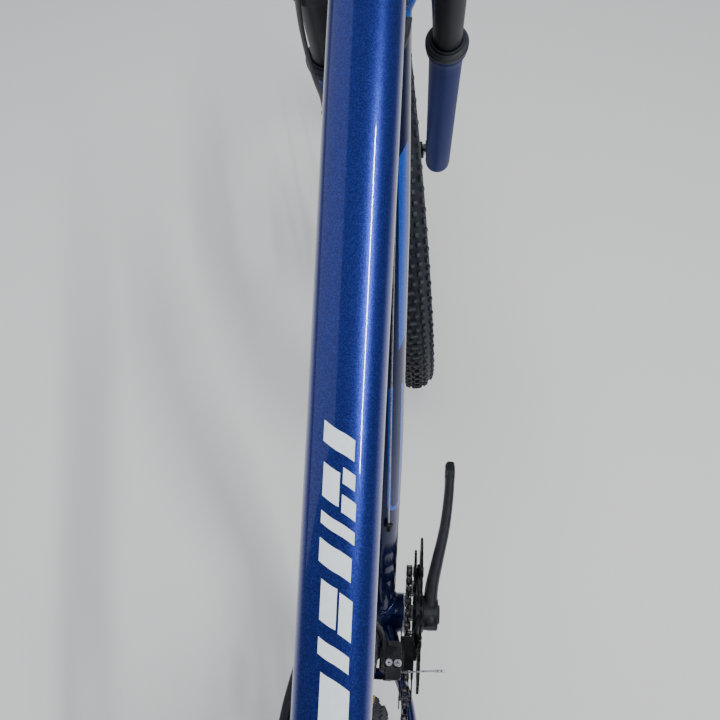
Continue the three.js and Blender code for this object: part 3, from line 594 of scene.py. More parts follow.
def weld(skin_of, start, stop, axis_from, axis_to, radius, bead=2.6):
    """A rippled bead where a tube's skin meets a round bar."""
    axis = (axis_to - axis_from).normalized()
    girth = None
    ring = []
    for i in range(120):
        low, high = start, stop
        _, _, w, h = skin_of.section((start + stop) / 2)
        girth = math.pi * (w + h)
        for _ in range(22):
            middle = (low + high) / 2
            away = skin_of(middle, girth * i / 120) - axis_from
            inside = (away - axis * away.dot(axis)).length < radius
            low, high = (middle, high) if inside else (low, middle)
        ring.append(skin_of(low, girth * i / 120))
    return tube(ring, lambda u: bead * (1 + 0.12 * math.sin(u * 2 * math.pi * 52)), 10, closed=True)


# ---- Frame ----
seat_tube_radius = 17.4
head_radius = 25
shell_from, shell_to = Vector((0, -36.5, 300)), Vector((0, 36.5, 300))
top_skin = surface([on_seat(420), on_steer(584)], [[23, 18], [23.5, 20], [25, 21.5], [26, 23]], 2.3)
down_path = [Vector((0, 0, 300)), Vector((150, 0, 503)), Vector((300, 0, 700)), on_steer(524)]
down_skin = surface(down_path, [[26, 20], [30.5, 26], [30.5, 27], [25.5, 25]], 2.2)

top_tube = tube_shape(top_skin, 4, top_skin.length)
top_tube.put(weld(top_skin, 0, 80, on_seat(300), on_seat(500), seat_tube_radius + 0.6))
top_tube.put(weld(
    top_skin, top_skin.length, top_skin.length - 90, on_steer(400), on_steer(700), head_radius + 0.6
))
build("top_tube_skin", top_tube, [BLUE], BIKE, "frame", ["top_tube"])

down_tube = tube_shape(down_skin, 10, down_skin.length)
down_tube.put(weld(
    down_skin, down_skin.length, down_skin.length - 90, on_steer(400), on_steer(700),
    head_radius + 0.6
))
down_tube.put(weld(down_skin, 5, 80, shell_from, shell_to, 22.1))
build("down_tube_skin", down_tube, [NAVY], BIKE, "frame", ["down_tube"])


# Generic slanted bars on the top tube: each starts at a place along it and has a length,
# a left and a right edge. The down tube has a panel and a looped stripe.
BARS = [
    (18, 26, -4, 9), (52, 9, -6, 8), (70, 22, -6, 1), (69, 22, 2, 8.5), (100, 13, -8, 7),
    (121, 7, -8, 8), (136, 19, -8, 0), (134, 10, 1, 8), (150, 9, 1, 7), (166, 12, -9, 6),
]
SLANT = 0.75
graphics = Shape()
for start, length, left, right in BARS:
    low, high = start - SLANT * left, start - SLANT * right
    corners = [(low, left), (high, right), (high + length, right), (low + length, left)]
    graphics.put(patch(top_skin, corners))
build("top_tube_graphics", graphics, [WHITE], BIKE, "frame")

stripes = Shape()
near = [(170 + 10 * k, 17.0) for k in range(14)]
turn_round = [(166 - 8 * math.sin(math.radians(a)), 25 - 8 * math.cos(math.radians(a))) for a in range(
    0, 181, 15
)]
far = [(170 + 10 * k, 33.0) for k in range(14)]
stripes.put(stripe(down_skin, near[::-1] + turn_round + far, 4.6))
panel = [(336, 25), (350, 36), (520, 33), (506, 20)]
stripes.put(patch(down_skin, panel, rows=40))
build("down_tube_stripes", stripes, [STRIPE], BIKE, "frame")

# Seat tube, head tube and shell, each a round tube with its bore.
seat_profile = [(seat_tube_radius, 0), (seat_tube_radius, 452), (18.0, 455), (18.0, 469.5), (17.5, 470)]
seat_profile += [(15.9, 470), (15.5, 469.4), (15.5, 300), (0.01, 300), (0.01, 0)]
build("seat_tube_skin", lathe(seat_profile, 64), [NAVY], SEAT, "frame", ["seat_tube"])
head_profile = [(20, 485), (24.6, 485), (25, 485.4), (25, 489), (24.3, 492), (24.3, 593)]
head_profile += [(25, 596), (25, 599.6), (24.6, 600), (20, 600)]
build("head_tube_skin", lathe(head_profile, 96), [BLUE], HEAD, "frame", ["head_tube"])
shell = lathe([(17.6, -36.5), (21.1, -36.5), (21.5, -36.1), (21.5, 36.1), (21.1, 36.5), (17.6, 36.5)], 72)
guide = block((30, 12, 3), 3).put(screw(3.5, 2.2), shift(0, 0, 1.5))
shell_piece = Shape().put(shell, shift(0, 0, 300) @ ALONG_Y).put(guide, shift(-6, -8, 277.5) @ turn("X", 180))
build("bottom_bracket_shell_skin", shell_piece, [NAVY], BIKE, "frame", ["bottom_bracket_shell"])


def stay(rows, up, square=2.0):
    stations = [(Vector(r[:3]), LEFT, up, r[3], r[4]) for r in spline(rows, 10)]
    return loft(stations, square, 36)


CHAINSTAY = [
    [-6, 16, 300, 9, 12],
    [-30, 24.5, 303, 9, 12],
    [-58, 31, 306, 7, 12],
    [-95, 45, 310, 7, 12],
    [-150, 52, 317, 7.5, 11],
    [-250, 59, 328, 7.5, 10],
    [-340, 66, 337, 6.5, 9],
    [-398, 70.8, 343, 4.5, 9],
    [-404, 70.9, 343.6, 3, 6],
]
SEATSTAY = [[0, 17, 7, 11], [0.1, 30, 7.5, 10], [0.25, 42, 8, 9], [0.5, 54, 7.5, 8], [0.75, 64, 6.5, 8]]
SEATSTAY += [[0.98, 70.8, 4.5, 8], [1, 70.9, 3, 5]]
stay_top, stay_foot = on_seat(406), Vector((-414, 0, 386))
stay_along = stay_foot - stay_top
stay_up = LEFT.cross(stay_along).normalized()


def dropout(side):
    x, z = in_bike(at_joint("rear_wheel_spin")).x, 350
    outline = [(x + 38.7, z - 16), (x + 38.7, z + 2), (x + 28, z + 16), (x + 28.4, z + 30)]
    outline += [(x + 16.6, z + 40), (x - 8, z + 18)]
    stop = 270 if side > 0 else 205
    outline += arc(x, z, 17, range(115, stop, 10))
    if side < 0:
        outline += [(x - 6, z - 38)]
        outline += arc(x + 3, z - 38, 9, range(190, 351, 20))
        outline += [(x + 14, z - 20)]
    window = [(x + 20, z + 8), (x + 25, z + 1), (x + 31, z - 3), (x + 31, z - 10), (x + 18, z - 10)]
    holes = [circle(5.3, 32, x, z), window, circle(2.2, 16, x + 19, z + 25)]
    return outline, holes


for name, side in (("right", -1), ("left", 1)):
    rows = [[x, side * y, z, w, h] for x, y, z, w, h in CHAINSTAY]
    build(
        "chainstay_%s_skin" % name, stay(rows, UP), [NAVY], BIKE, "frame",
        ["chainstay_" + name]
    )
    rows = []
    for t, y, w, h in SEATSTAY:
        middle = stay_top + stay_along * t
        rows.append([middle.x, side * y, middle.z, w, h])
    build(
        "seatstay_%s_skin" % name, stay(rows, stay_up), [BLUE], BIKE, "frame",
        ["seatstay_" + name]
    )
    outline, holes = dropout(side)
    flat = plate([outline, *holes], 67.8, 73.5)
    to_side = turn("X", 90)  # Z goes to -Y, and Y to Z
    drop = Shape().put(flat, to_side if side < 0 else shift(0, 141.3, 0) @ to_side)
    build("dropout_%s_skin" % name, drop, [NAVY], BIKE, "frame", ["dropout_" + name], bevel=0.7)

low_bridge = bar((-66, -29, 307), (-66, 29, 307), 6)
build("chainstay_bridge_skin", low_bridge, [NAVY], BIKE, "frame", ["chainstay_bridge"])
span = stay_top.lerp(stay_foot, 0.12)
high_bridge = bar((span.x, -24, span.z), (span.x, 24, span.z), 5.5)
high_bridge.put(bar((span.x, 0, span.z - 8), (span.x, 0, span.z - 2), 3.5))
build("seatstay_bridge_skin", high_bridge, [BLUE], BIKE, "frame", ["seatstay_bridge"])

clamp = lathe([(17.8, 454), (21, 454), (21.6, 455), (21.6, 468), (21, 469), (17.8, 469)], 72)
clamp.put(block((14, 16, 9), 2), shift(-24.5, 0, 461.5))
clamp.put(bar((-27, -9, 461.5), (-27, 9, 461.5), 6))
build("seat_clamp_skin", clamp, [BLACK_METAL], SEAT, "frame", ["seat_clamp"], bevel=0.5)
clamp_bolt = Shape().put(screw(4.8, 5), shift(-27, -9.2, 461.5) @ turn("X", 90))
clamp_bolt.put(bar((-27, 9.2, 461.5), (-27, 12, 461.5), 3))
build("seat_clamp_bolt_skin", clamp_bolt, [STEEL], SEAT, "frame", ["seat_clamp_bolt"])

cup_low = lathe(
    [(14.8, 481.2), (23.6, 481.2), (24.5, 482), (24.5, 484.2), (19.7, 484.7), (19.7, 500), (14.8, 500)],
    72
)
build("headset_lower_skin", cup_low, [BLACK_METAL], HEAD, "frame", ["headset_lower_cup"])
cup_high = lathe([(14.8, 600.3), (24.5, 600.3), (24.5, 603), (21, 609), (19, 610), (14.8, 610)], 72)
build("headset_upper_skin", cup_high, [BLACK_METAL], HEAD, "frame", ["headset_upper_cup"])

# ---- Bottom bracket, cranks and rings ----
AXLE = ALONG_Y  # shapes turned about Z, put across the bicycle
cups = Shape()
for side in (1, -1):
    cup = lathe([(9.5, 36.8), (20.6, 36.8), (21, 37.2), (21, 39), (20.4, 39.5), (9.5, 39.5)], 64)
    cups.put(cup, turn("Y", 90 - 90 * side))
    for k in range(16):
        notch = block((2.2, 1.6, 2.4), 0.4)
        cups.put(notch, turn("Y", 90 - 90 * side) @ turn("Z", 22.5 * k) @ shift(20.6, 0, 38.1))
build(
    "bottom_bracket_cups", Shape().put(cups, AXLE), [STEEL], shift(*bottom_bracket), "frame",
    ["bottom_bracket"], bevel=0.2
)
spindle = bar((0, -68, 0), (0, 68, 0), 9)
build("spindle_skin", spindle, [STEEL], CRANK, "cranks", ["bottom_bracket_spindle"])

ARM = [
    [-16, 66, 6, 11],
    [-12, 66.2, 7.4, 14.5],
    [0, 66.5, 8, 17],
    [28, 67.5, 7.6, 15],
    [60, 73.5, 7, 12.5],
    [100, 81.5, 6.4, 11.5],
    [140, 86, 6, 11.8],
    [170, 87.5, 5.8, 13.5],
    [181, 87.6, 5.6, 12],
    [183, 87.6, 5, 11],
]
LARGE_Y = CHAIN_Y - 13.2
MIDDLE_Y = CHAIN_Y - 6.6


def crank_arm(side):
    stations = []
    for x, y, w, h in spline(ARM, 7):
        stations.append((Vector((x, side * y, 0)), LEFT * side, UP, w, h))
    arm = loft(stations, 3.2, 56)
    across = ALONG_Y if side > 0 else turn("X", 90)  # Z outward
    arm.put(rod(17, 17.5, edge=1.2, sides=56), across @ shift(0, 0, 58))
    arm.put(rod(11.5, 13.5, edge=0.8, sides=48), shift(170, 0, 0) @ across @ shift(0, 0, 81.5))
    arm.put(lathe([(7.1, 81.1), (8.6, 81.1), (8.6, 93.1), (7.1, 93.1)], 32, 1), shift(170, 0, 0) @ across)
    arm.put(lathe([(4, 74.5), (10.5, 74.5), (10.5, 76.2), (9.5, 77), (5, 77), (4, 76)], 40, 2), across)
    arm.put(screw(4.6, 2.2, kind=1), across @ shift(0, 0, 74.6))
    return arm


right_arm = crank_arm(-1)
spider_rows = [
    [14, 13, -55.4, 4], [26, 10.5, -53.8, 3.2], [42, 8, -51.6, 2.0], [54, 7, -51.4, 1.7],
    [58.5, 5, -51.4, 1.6]
]
for k in range(4):
    stations = [(Vector((r[0], r[2], 0)), UP, LEFT, r[1], r[3]) for r in spline(spider_rows, 5)]
    right_arm.put(loft(stations, 3.4, 28), turn("Y", 45 + 90 * k))
right_arm.put(rod(9.5, 24, 20, 0.8, 48), turn("X", 90) @ shift(0, 0, 49.7))
arm_looks = [CRANK_GREY, STEEL, BLACK_METAL]
build("crank_right", right_arm, arm_looks, CRANK, "cranks", ["crank_arm_right"], bevel=0.5)
left_arm = Shape().put(crank_arm(1), turn("Y", 180))
build("crank_left", left_arm, arm_looks, CRANK, "cranks", ["crank_arm_left"], bevel=0.5)


def chainring(teeth, y, window, reach, bolt_radius, thick=1.3):
    holes = [tabbed(window, reach, 4, 45, 0.34)]
    holes += [circle(4.2, 20, x, z) for x, z in arc(0, 0, bolt_radius, range(45, 316, 90))]
    ring = plate([gear(teeth), *holes], y - thick, y + thick, 0, 0)
    tips = plate([gear(teeth, 2.3, -3.95), gear(teeth, 1.6, -4.2)], y - thick * 0.6, y + thick * 0.6, 1)
    return Shape().put(ring, AXLE).put(tips, AXLE)


def ring_bolts(radius, y_from, y_to, head, start=45):
    bolts = Shape()
    for k in range(4):
        spot = turn("Y", start + 90 * k) @ shift(radius, 0, 0)
        bolts.put(Shape().put(screw(head, 1.6), turn("X", 90) @ shift(0, 0, -y_from)), spot)
        bolts.put(bar((0, y_from, 0), (0, y_to, 0), head * 0.62), spot)
        bolts.put(Shape().put(rod(1.4, head, edge=0.3), ALONG_Y @ shift(0, 0, y_to)), spot)
    return bolts


looks = [RING_BLACK, CHAIN_STEEL]
build(
    "ring_large", chainring(40, LARGE_Y, 71, 45, 52), looks, CRANK, "cranks",
    ["chainring_large"], bevel=0.35
)
build(
    "ring_middle", chainring(33, MIDDLE_Y, 58.5, 45, 52), looks, CRANK, "cranks",
    ["chainring_middle"], bevel=0.35
)
build(
    "ring_small", chainring(24, CHAIN_Y, 43, 34, 38, 1.0), looks, CRANK, "cranks",
    ["chainring_small"], bevel=0.3
)
bolts = ring_bolts(52, LARGE_Y - 1.3, MIDDLE_Y + 1.3, 6).put(ring_bolts(38, MIDDLE_Y - 2, CHAIN_Y + 1, 4))
build("ring_bolts", bolts, [STEEL], CRANK, "cranks")

# ---- Chain ----
guide_at = in_bike(at_joint("guide_pulley_spin"))
tension_at = in_bike(at_joint("tension_pulley_spin"))
cog_at = in_bike(at_joint("rear_wheel_spin"))
WHEELS = [
    # x, z, teeth, and -1 for a clockwise turn seen from the right
    (0, 300, 24, -1),
    (tension_at.x, tension_at.z, 11, -1),
    (guide_at.x, guide_at.z, 11, 1),
    (cog_at.x, cog_at.z, 21, -1),
]


def chain_line():
    """Points of the pitch line, with the number of the wheel or the run that each is on."""
    runs = []
    for i, (x, z, teeth, way) in enumerate(WHEELS):
        x2, z2, teeth2, way2 = WHEELS[(i + 1) % 4]
        r, r2 = (n * PITCH / (2 * math.pi) for n in (teeth, teeth2))
        lean = math.asin((way2 * r2 - way * r) / math.hypot(x2 - x, z2 - z))
        heading = math.atan2(z2 - z, x2 - x) - lean
        runs.append((heading - way * math.pi / 2, heading - way2 * math.pi / 2))
    line = []
    for i, (x, z, teeth, way) in enumerate(WHEELS):
        r = teeth * PITCH / (2 * math.pi)
        start = runs[i - 1][1]
        sweep = (runs[i][0] - start) * way % (2 * math.pi)
        for k in range(41):
            angle = start + way * sweep * k / 40
            line.append((Vector((x + r * math.cos(angle), CHAIN_Y, z + r * math.sin(angle))), i))
    return line


def link(outer):
    """One link along +X, centred on its first pin."""
    ring = []
    for cx, start in ((PITCH, -90), (0, 90)):
        ring += arc(cx, 0, 4.1, range(start, start + 181, 18))
        ring.append((PITCH / 2, 3.1 if start == -90 else -3.1))
    shape = Shape()
    for side in (1, -1):
        low, high = (2.5, 3.25) if outer else (1.7, 2.45)
        flat = plate([ring], min(side * low, side * high), max(side * low, side * high), 0)
        shape.put(flat, turn("X", 90))
    for x in (0, PITCH):
        if outer:
            shape.put(bar((x, -3.6, 0), (x, 3.6, 0), 1.9, edge=0.3, sides=16, kind=1))
        else:
            shape.put(bar((x, -1.65, 0), (x, 1.65, 0), 3.8, edge=0.3, sides=18, kind=1))
    return shape


def lay_chain():
    line = chain_line()
    points = [p for p, _ in line] + [line[0][0]]
    marks = [m for _, m in line] + [4]
    lengths = [0.0]
    for a, b in zip(points, points[1:]):
        lengths.append(lengths[-1] + (b - a).length)
    total = lengths[-1]
    count = 2 * round(total / PITCH / 2)

    def along(s):
        s %= total
        k = min(max(i for i, v in enumerate(lengths) if v <= s), len(points) - 2)
        share = (s - lengths[k]) / max(1e-9, lengths[k + 1] - lengths[k])
        run = marks[k] if marks[k] == marks[k + 1] else marks[k] + 0.5
        return points[k].lerp(points[k + 1], share), run

    parts = {"frame": Shape(), "lower": Shape(), "cage": Shape()}
    kinds = [link(False), link(True)]
    for i in range(count):
        a, run = along(total * i / count)
        b, _ = along(total * (i + 1) / count)
        ahead = (b - a).normalized()
        where = Matrix((ahead, LEFT, ahead.cross(LEFT))).transposed().to_4x4()
        part = "lower" if run == 0.5 else "cage" if 1 <= run < 2 else "frame"
        parts[part].put(
            kinds[i % 2],
            Matrix.Translation(a) @ where @ Matrix.Scale((b - a).length / PITCH, 4, (1, 0, 0))
        )
    return parts


chain_looks = [CHAIN_DARK, CHAIN_STEEL]
parts = lay_chain()
build("chain_upper", parts["frame"], chain_looks, BIKE, "frame", ["chain"])
build("chain_tension_side", parts["cage"], chain_looks, BIKE, "rear_mech_cage", ["chain"])
lower = build("chain_lower", parts["lower"], chain_looks, BIKE, None, ["chain"])
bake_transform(lower)


# ---- Wheels ----
def knob(around, across, wide, long, low=22.6, high=27.0, taper=0.8):
    """A block of tread: its place round the wheel and across the tyre in degrees, its size in mm."""
    middle = WHEEL_RADIUS - 27
    corners = []
    for r, size in ((low, 1.0), (high, taper)):
        for da, dl in ((-1, -1), (1, -1), (1, 1), (-1, 1)):
            phi = math.radians(across) + da * wide / 2 * size / r
            theta = math.radians(around) + dl * long / 2 * size / (middle + r)
            flat = middle + r * math.cos(phi)
            corners.append(Vector((flat * math.cos(theta), flat * math.sin(theta), r * math.sin(phi))))
    faces = [[3, 2, 1, 0], [4, 5, 6, 7], [0, 1, 5, 4], [1, 2, 6, 5], [2, 3, 7, 6], [3, 0, 4, 7]]
    return corners, faces


def tyre():
    middle = WHEEL_RADIUS - 27
    profile = []
    for k in range(31):
        angle = math.radians(-140 + 280 * k / 30)
        r = 23.2 + 1.6 * abs(math.sin(angle))
        profile.append((middle + r * math.cos(angle), r * math.sin(angle)))
    profile += [(300, 11), (300, -11)]
    shape = lathe(profile, 180)
    for side in (1, -1):
        for r, z in ((331, 23), (313, 23), (306, 18.6)):
            rib = [(r - 0.6, side * (z - 0.6)), (r + 0.6, side * (z - 0.6)), (r, side * (z + 0.5))]
            shape.put(lathe(rib, 180))
    rows = 188
    for i in range(rows):
        around = 360 * i / rows
        blocks = []
        if i % 2:
            blocks += [(0, 10, 5.4), (27, 5.2, 6.2), (62, 7.6, 5.6)]
        else:
            blocks += [(10.5, 5.2, 5.0), (31, 6.0, 5.2), (58, 7.0, 7.2)]
        for across, wide, long in blocks:
            for side in ((1, -1) if across else (1,)):
                corners, faces = knob(around, side * across, wide, long)
                shape.add(corners, faces)
                # The top face of each block takes the lighter rubber, a painted highlight.
                shape.kinds[-5] = 1
        if i % 2:
            for side in (1, -1):
                shape.add(*knob(around, side * 17.5, 5.4, 1.6, 22.6, 24.6))
    return Shape().put(shape, AXLE)


def rim_shape():
    profile = [(275, -4), (277, -6.5), (283, -10.5), (298.4, -13), (RIM_RADIUS, -12.2), (297.4, -11.2)]
    profile += [(292, -9.6), (289.5, -5), (289.5, 5), (292, 9.6), (297.4, 11.2), (RIM_RADIUS, 12.2)]
    profile += [(298.4, 13), (283, 10.5), (277, 6.5), (275, 4)]
    return Shape().put(lathe(profile, 180), AXLE)


def spokes(right_y, right_r, left_y, left_r):
    """Thirty-two spokes laced three-cross, with their nipples."""
    shape = Shape()
    for side, y, radius in ((-1, right_y, right_r), (1, left_y, left_r)):
        for k in range(16):
            trailing = 1 if k % 2 else -1
            hub_angle = math.radians(22.5 * k + (0 if side > 0 else 11.25))
            rim_angle = hub_angle + trailing * math.radians(62)
            r = radius - 3
            rim_angle = math.radians(round(math.degrees(rim_angle) / 11.25) * 11.25)
            lift = 1.8 * (1 if k % 2 else -1)
            a = Vector((r * math.cos(hub_angle), y + lift, r * math.sin(hub_angle)))
            b = Vector((277 * math.cos(rim_angle), side * 2.0, 277 * math.sin(rim_angle)))
            shape.put(bar(a, b, 1.0, edge=0.1, sides=8))
            shape.put(bar(a + LEFT * lift * 0.6, a - LEFT * lift * 1.6, 1.1, edge=0.1, sides=8))
            shape.put(bar(b.lerp(a, 0.05), b, 1.9, 2.1, edge=0.2, sides=8, kind=1))
    return shape


def hub_shape(profile, flanges):
    rings = [(5.4, profile[0][1]), *profile, (5.4, profile[-1][1])]
    shape = lathe(rings, 64)
    for y, r in flanges:
        shape.put(lathe(
            [
                (10, y - 1.5), (r - 0.6, y - 1.5), (r, y - 0.9),
                (r, y + 0.9), (r - 0.6, y + 1.5), (10, y + 1.5),
            ],
            64,
        ))
    return Shape().put(shape, AXLE)


def rotor(y):
    outline = []
    for k in range(180):
        a = math.radians(2 * k)
        r = 79.3 + 0.7 * math.cos(12 * a)
        outline.append((r * math.cos(a), r * math.sin(a)))
    holes = [circle(18.3, 48)]
    for k in range(6):
        holes.append(sector(30, 62, 60 * k + 7, 60 * k + 53))
    for k in range(36):
        a = math.radians(10 * k + 3)
        r = 67 + 4.2 * (k % 3)
        holes.append(circle(2.1, 10, r * math.cos(a), r * math.sin(a)))
    disc = plate([outline, *holes], y - 0.95, y + 0.95)
    for k in range(6):
        disc.put(screw(3.4, 2.0, kind=1), turn("Z", 60 * k) @ shift(22, 0, y + 0.95))
    return Shape().put(disc, AXLE)


def wheel(name, at, body, rubber, hub, flanges, rotor_y):
    (right_y, right_r), (left_y, left_r) = flanges
    build(
        name + "_tyre_tread", tyre(), [rubber, KNOB_TOP_HIGHLIGHT_RUBBER], at, body,
        [name + "_tyre"], bevel=0.45
    )
    valve = bar((0, 0, 250), (0, 0, 278), 3.2, 3.4, kind=0).put(bar((0, 0, 240), (0, 0, 251), 2.4))
    rim = rim_shape().put(valve, turn("Y", 5.6))
    build(name + "_rim_skin", rim, [BLACK_METAL], at, body, [name + "_rim"])
    wires = spokes(right_y, right_r, left_y, left_r)
    build(name + "_spokes", wires, [ANODISED, STEEL], at, body)
    build(
        name + "_hub_skin", hub_shape(hub, flanges), [BLACK_METAL], at, body,
        [name + "_hub"]
    )
    build(
        name + "_rotor", rotor(rotor_y), [STEEL, BLACK_METAL], at, body,
        [name + "_brake_rotor"]
    )


def axle_shape(half, right_end, left_end):
    shape = bar((0, -right_end, 0), (0, left_end, 0), 5)
    for side in (1, -1):
        nut = lathe([(5, half - 4), (8.5, half - 4), (8.5, half - 0.6), (8, half), (5, half)], 40)
        shape.put(nut, AXLE if side > 0 else turn("X", 90))
    shape.put(rod(6.7, 8.5, 7.6, 0.8, 24), turn("X", 90) @ shift(0, 0, right_end + 0.3))
    return shape


wheel(
    "rear", REAR, "rear_wheel", LINED_RUBBER,
    [(17, -24), (14, -17), (12, -10), (12, 20), (15, 30), (18, 35), (18, 58)],
    [(-19.5, 27), (33, 27)], 52.2,
)
wheel(
    "front", FRONT, "front_wheel", RUBBER,
    [(12, -45), (13, -34), (10.5, -24), (10.5, 10), (14, 20), (18, 24), (18, 39.5)],
    [(-32, 21), (20, 25)], 34.7,
)
build("rear_axle_skin", axle_shape(67.5, 74.2, 73.5), [STEEL], REAR, "frame", ["rear_axle"])
build(
    "front_axle_skin", axle_shape(50, 58, 57.8), [STEEL], FRONT, "fork_lower",
    ["front_axle"]
)

COGS = [32, 28, 24, 21, 18, 15, 13, 11]
cassette = lathe([(5.4, -26.2), (17, -26.2), (17, -61.8), (13, -62.6), (13, -63), (5.4, -63)], 48, 1)
for i, teeth in enumerate(COGS):
    y = CHAIN_Y - 4.8 * (i - 3)
    r = teeth * PITCH / (2 * math.pi)
    holes = [circle(16.8, 40)]
    if teeth > 22:
        for k in range(6):
            holes.append(sector(21, r - 9, 60 * k + 8, 60 * k + 52))
    cassette.put(plate([gear(teeth, 2.5), *holes], y - 0.9, y + 0.9))
build(
    "cassette_cogs", Shape().put(cassette, AXLE), [STEEL, BLACK_METAL], REAR, "cassette",
    ["cassette"], bevel=0.2
)


def lever(inner):
    middle = inner + 7.5
    shape = bar((-7, middle, 0), (7, middle, 0), 7, edge=1, sides=40)
    rows = [
        [2, 0, 4.2, 3.6], [10, 1, 4.4, 3.2], [18, 2.5, 5, 2.6], [40, 3, 6.5, 2.4],
        [58, 1.8, 5.8, 2], [63, 1.4, 3, 1.2]
    ]
    stations = [(Vector((0, middle + y, z)), Vector((1, 0, 0)), LEFT, w, h) for z, y, w, h in spline(rows, 6)]
    shape.put(loft(stations, 3, 32))
    shape.put(screw(4.4, 1.0, kind=1), shift(6.9, middle, 0) @ ALONG_X)
    return shape


build(
    "rear_lever_skin", lever(73.8), [BLACK_METAL, STEEL], REAR @ turn("Y", 70), "rear_lever",
    ["rear_quick_release_lever"]
)
build(
    "front_lever_skin", lever(58.3), [BLACK_METAL, STEEL], FRONT, "front_lever",
    ["front_quick_release_lever"]
)


def caliper(y):
    """A brake caliper astride its rotor, with a hose fitting and two bolts."""
    shape = Shape()
    for low, high in ((y - 9.5, y - 2.1), (y + 2.1, y + 9.5)):
        half = plate([oval_box(18, 13, 5)], low, high)
        shape.put(half, shift(0, 0, -1) @ AXLE)
    roof = plate([oval_box(15, 2.3, 1.5)], y - 9, y + 9)
    shape.put(roof, shift(0, 0, 9) @ AXLE)
    for side in (1, -1):
        shape.put(
            Shape().put(rod(3, 8.6, 8, 0.6, 40), AXLE if side > 0 else turn("X", 90)),
            shift(0, y + side * 9.2, 0)
        )
    for x in (-12, 12):
        shape.put(screw(3.6, 3, kind=1), shift(x, y, 11.5))
    shape.put(bar((-8, y + 4, 10), (-16, y + 6, 14), 3.2, kind=1))
    return shape


for name, at, y, tilt, body in (
    ("rear", REAR, 52.2, 68, "frame"),
    ("front", FRONT, 34.7, -45, "fork_lower"),
):
    place = at @ turn("Y", tilt) @ shift(0, 0, 0.076)
    build(
        name + "_caliper", caliper(y), [BLACK_METAL, STEEL], place, body,
        [name + "_brake_caliper"], bevel=0.8
    )

# ---- Front derailleur ----
fd = at_joint("front_mech_swing")
fd_pivot = in_bike(fd)
cage_pivot = in_bike(at_joint("front_mech_cage_pivot"))
band = lathe([(17.6, 142), (20.3, 142), (20.8, 142.5), (20.8, 157.5), (20.3, 158), (17.6, 158)], 72)
for edge in (145, 155):
    band.put(lathe([(20.4, edge - 1), (21.4, edge - 0.6), (21.4, edge + 0.6), (20.4, edge + 1)], 72))
fd_parts = Shape()
fd_parts.put(block((26, 14, 14), 3), shift(-60, -24, 442))
fd_parts.put(block((32, 14, 13), 3), shift(-64, -30, 448.5))
fd_parts.put(block((26, 3.2, 2.4), 1), shift(-60, -21, 455.6))
fd_parts.put(block((5, 11, 3), 1.4), shift(-50, -30, 455.4))
for side in (-1, 1):
    fd_parts.put(block((4, 9.5, 13), 1.4), shift(fd_pivot.x + side * 12, fd_pivot.y, fd_pivot.z + 2.5))
fd_parts.put(bar(
    (fd_pivot.x - 14, fd_pivot.y, fd_pivot.z), (fd_pivot.x + 14, fd_pivot.y, fd_pivot.z), 2.4,
    kind=1
))
for y in (-26, -33.5):
    fd_parts.put(screw(3.7, 3.6, "cross", kind=1), shift(-66, y, 454.6))
build(
    "front_mech_band", band, [BLACK_METAL], SEAT, "frame", ["front_derailleur_body"],
    bevel=0.3
)
build(
    "front_mech_body", fd_parts, [BLACK_METAL, STEEL], BIKE, "frame",
    ["front_derailleur_body"], bevel=0.6
)

link_shape = Shape()
rows = [(fd_pivot, Vector((1, 0, 0)), LEFT, 8.6, 2.4), (cage_pivot, Vector((1, 0, 0)), LEFT, 8.6, 2.4)]
link_shape.put(loft(rows, 5, 28))
for pivot in (fd_pivot, cage_pivot):
    link_shape.put(bar(pivot - Vector((9.6, 0, 0)), pivot + Vector((9.6, 0, 0)), 4.2, sides=28))
horn = Vector((-71.4, -31.8, 431))
link_shape.put(block((6, 6, 9), 1.2), shift(*horn))
link_shape.put(screw(3.6, 2.4, kind=1), shift(-71.4, -34.6, 431) @ turn("X", 90))
build(
    "front_mech_link", link_shape, [BLACK_METAL, STEEL], BIKE, "mech_link",
    ["front_derailleur_link"], bevel=0.4
)

CAGE_IN, CAGE_OUT = CHAIN_Y + 5.9, CHAIN_Y - 6.1
cage = Shape()
around_bb = shift(0, 0, 300) @ turn("X", 90)  # X-Y plates stand in X-Z, and their Z points to -Y
inner_holes = [sector(82, 101, 116, 128), sector(84, 102, 134, 150)]
cage.put(plate([sector(76, 108, 110, 158, 24), *inner_holes], -CAGE_IN - 0.6, -CAGE_IN + 0.6), around_bb)
cage.put(
    plate([sector(92, 108, 108, 160, 24), sector(97, 103, 132, 154, 12)], -CAGE_OUT - 0.6, -CAGE_OUT + 0.6),
    around_bb
)
cage.put(plate([sector(106, 108, 110, 128, 12)], -CAGE_IN, -CAGE_OUT), around_bb)
cage.put(block((24, 15, 6), 2), shift(-64, -27.5, 399))
cage.put(block((20, 6, 12), 1.5), shift(-60, -36.5, 396))
cage.put(bar((-90, CAGE_OUT - 1, 336), (-90, CAGE_IN + 1, 336), 2.3, kind=1))
for side in (-1, 1):
    cage.put(block((4, 9, 14), 1.4), shift(cage_pivot.x + side * 12, cage_pivot.y, cage_pivot.z - 3))
cage.put(bar(cage_pivot - Vector((14, 0, 0)), cage_pivot + Vector((14, 0, 0)), 2.4, kind=1))
build(
    "front_mech_cage", cage, [BLACK_METAL, STEEL], BIKE, "mech_cage",
    ["front_derailleur_cage"], bevel=0.35
)

tail_line = spline([(-72, -34.3, 431), (-71, -45, 431.6), (-69.5, -58, 431.4), (-68, -75, 430.4)], 10)
tail = tube(tail_line, 0.75, 10)
tail.put(tube(spline([(-72.5, -31, 436), (-72.4, -33.8, 431.6), (-72, -34.3, 431)], 6), 0.75, 10))
tail.put(bar((-68.6, -67, 431), (-68, -77.8, 430.3), 1.3, 1.15, sides=14))
build(
    "front_mech_cable_end", tail, [STEEL], BIKE, "mech_link",
    ["front_derailleur_cable_end"]
)

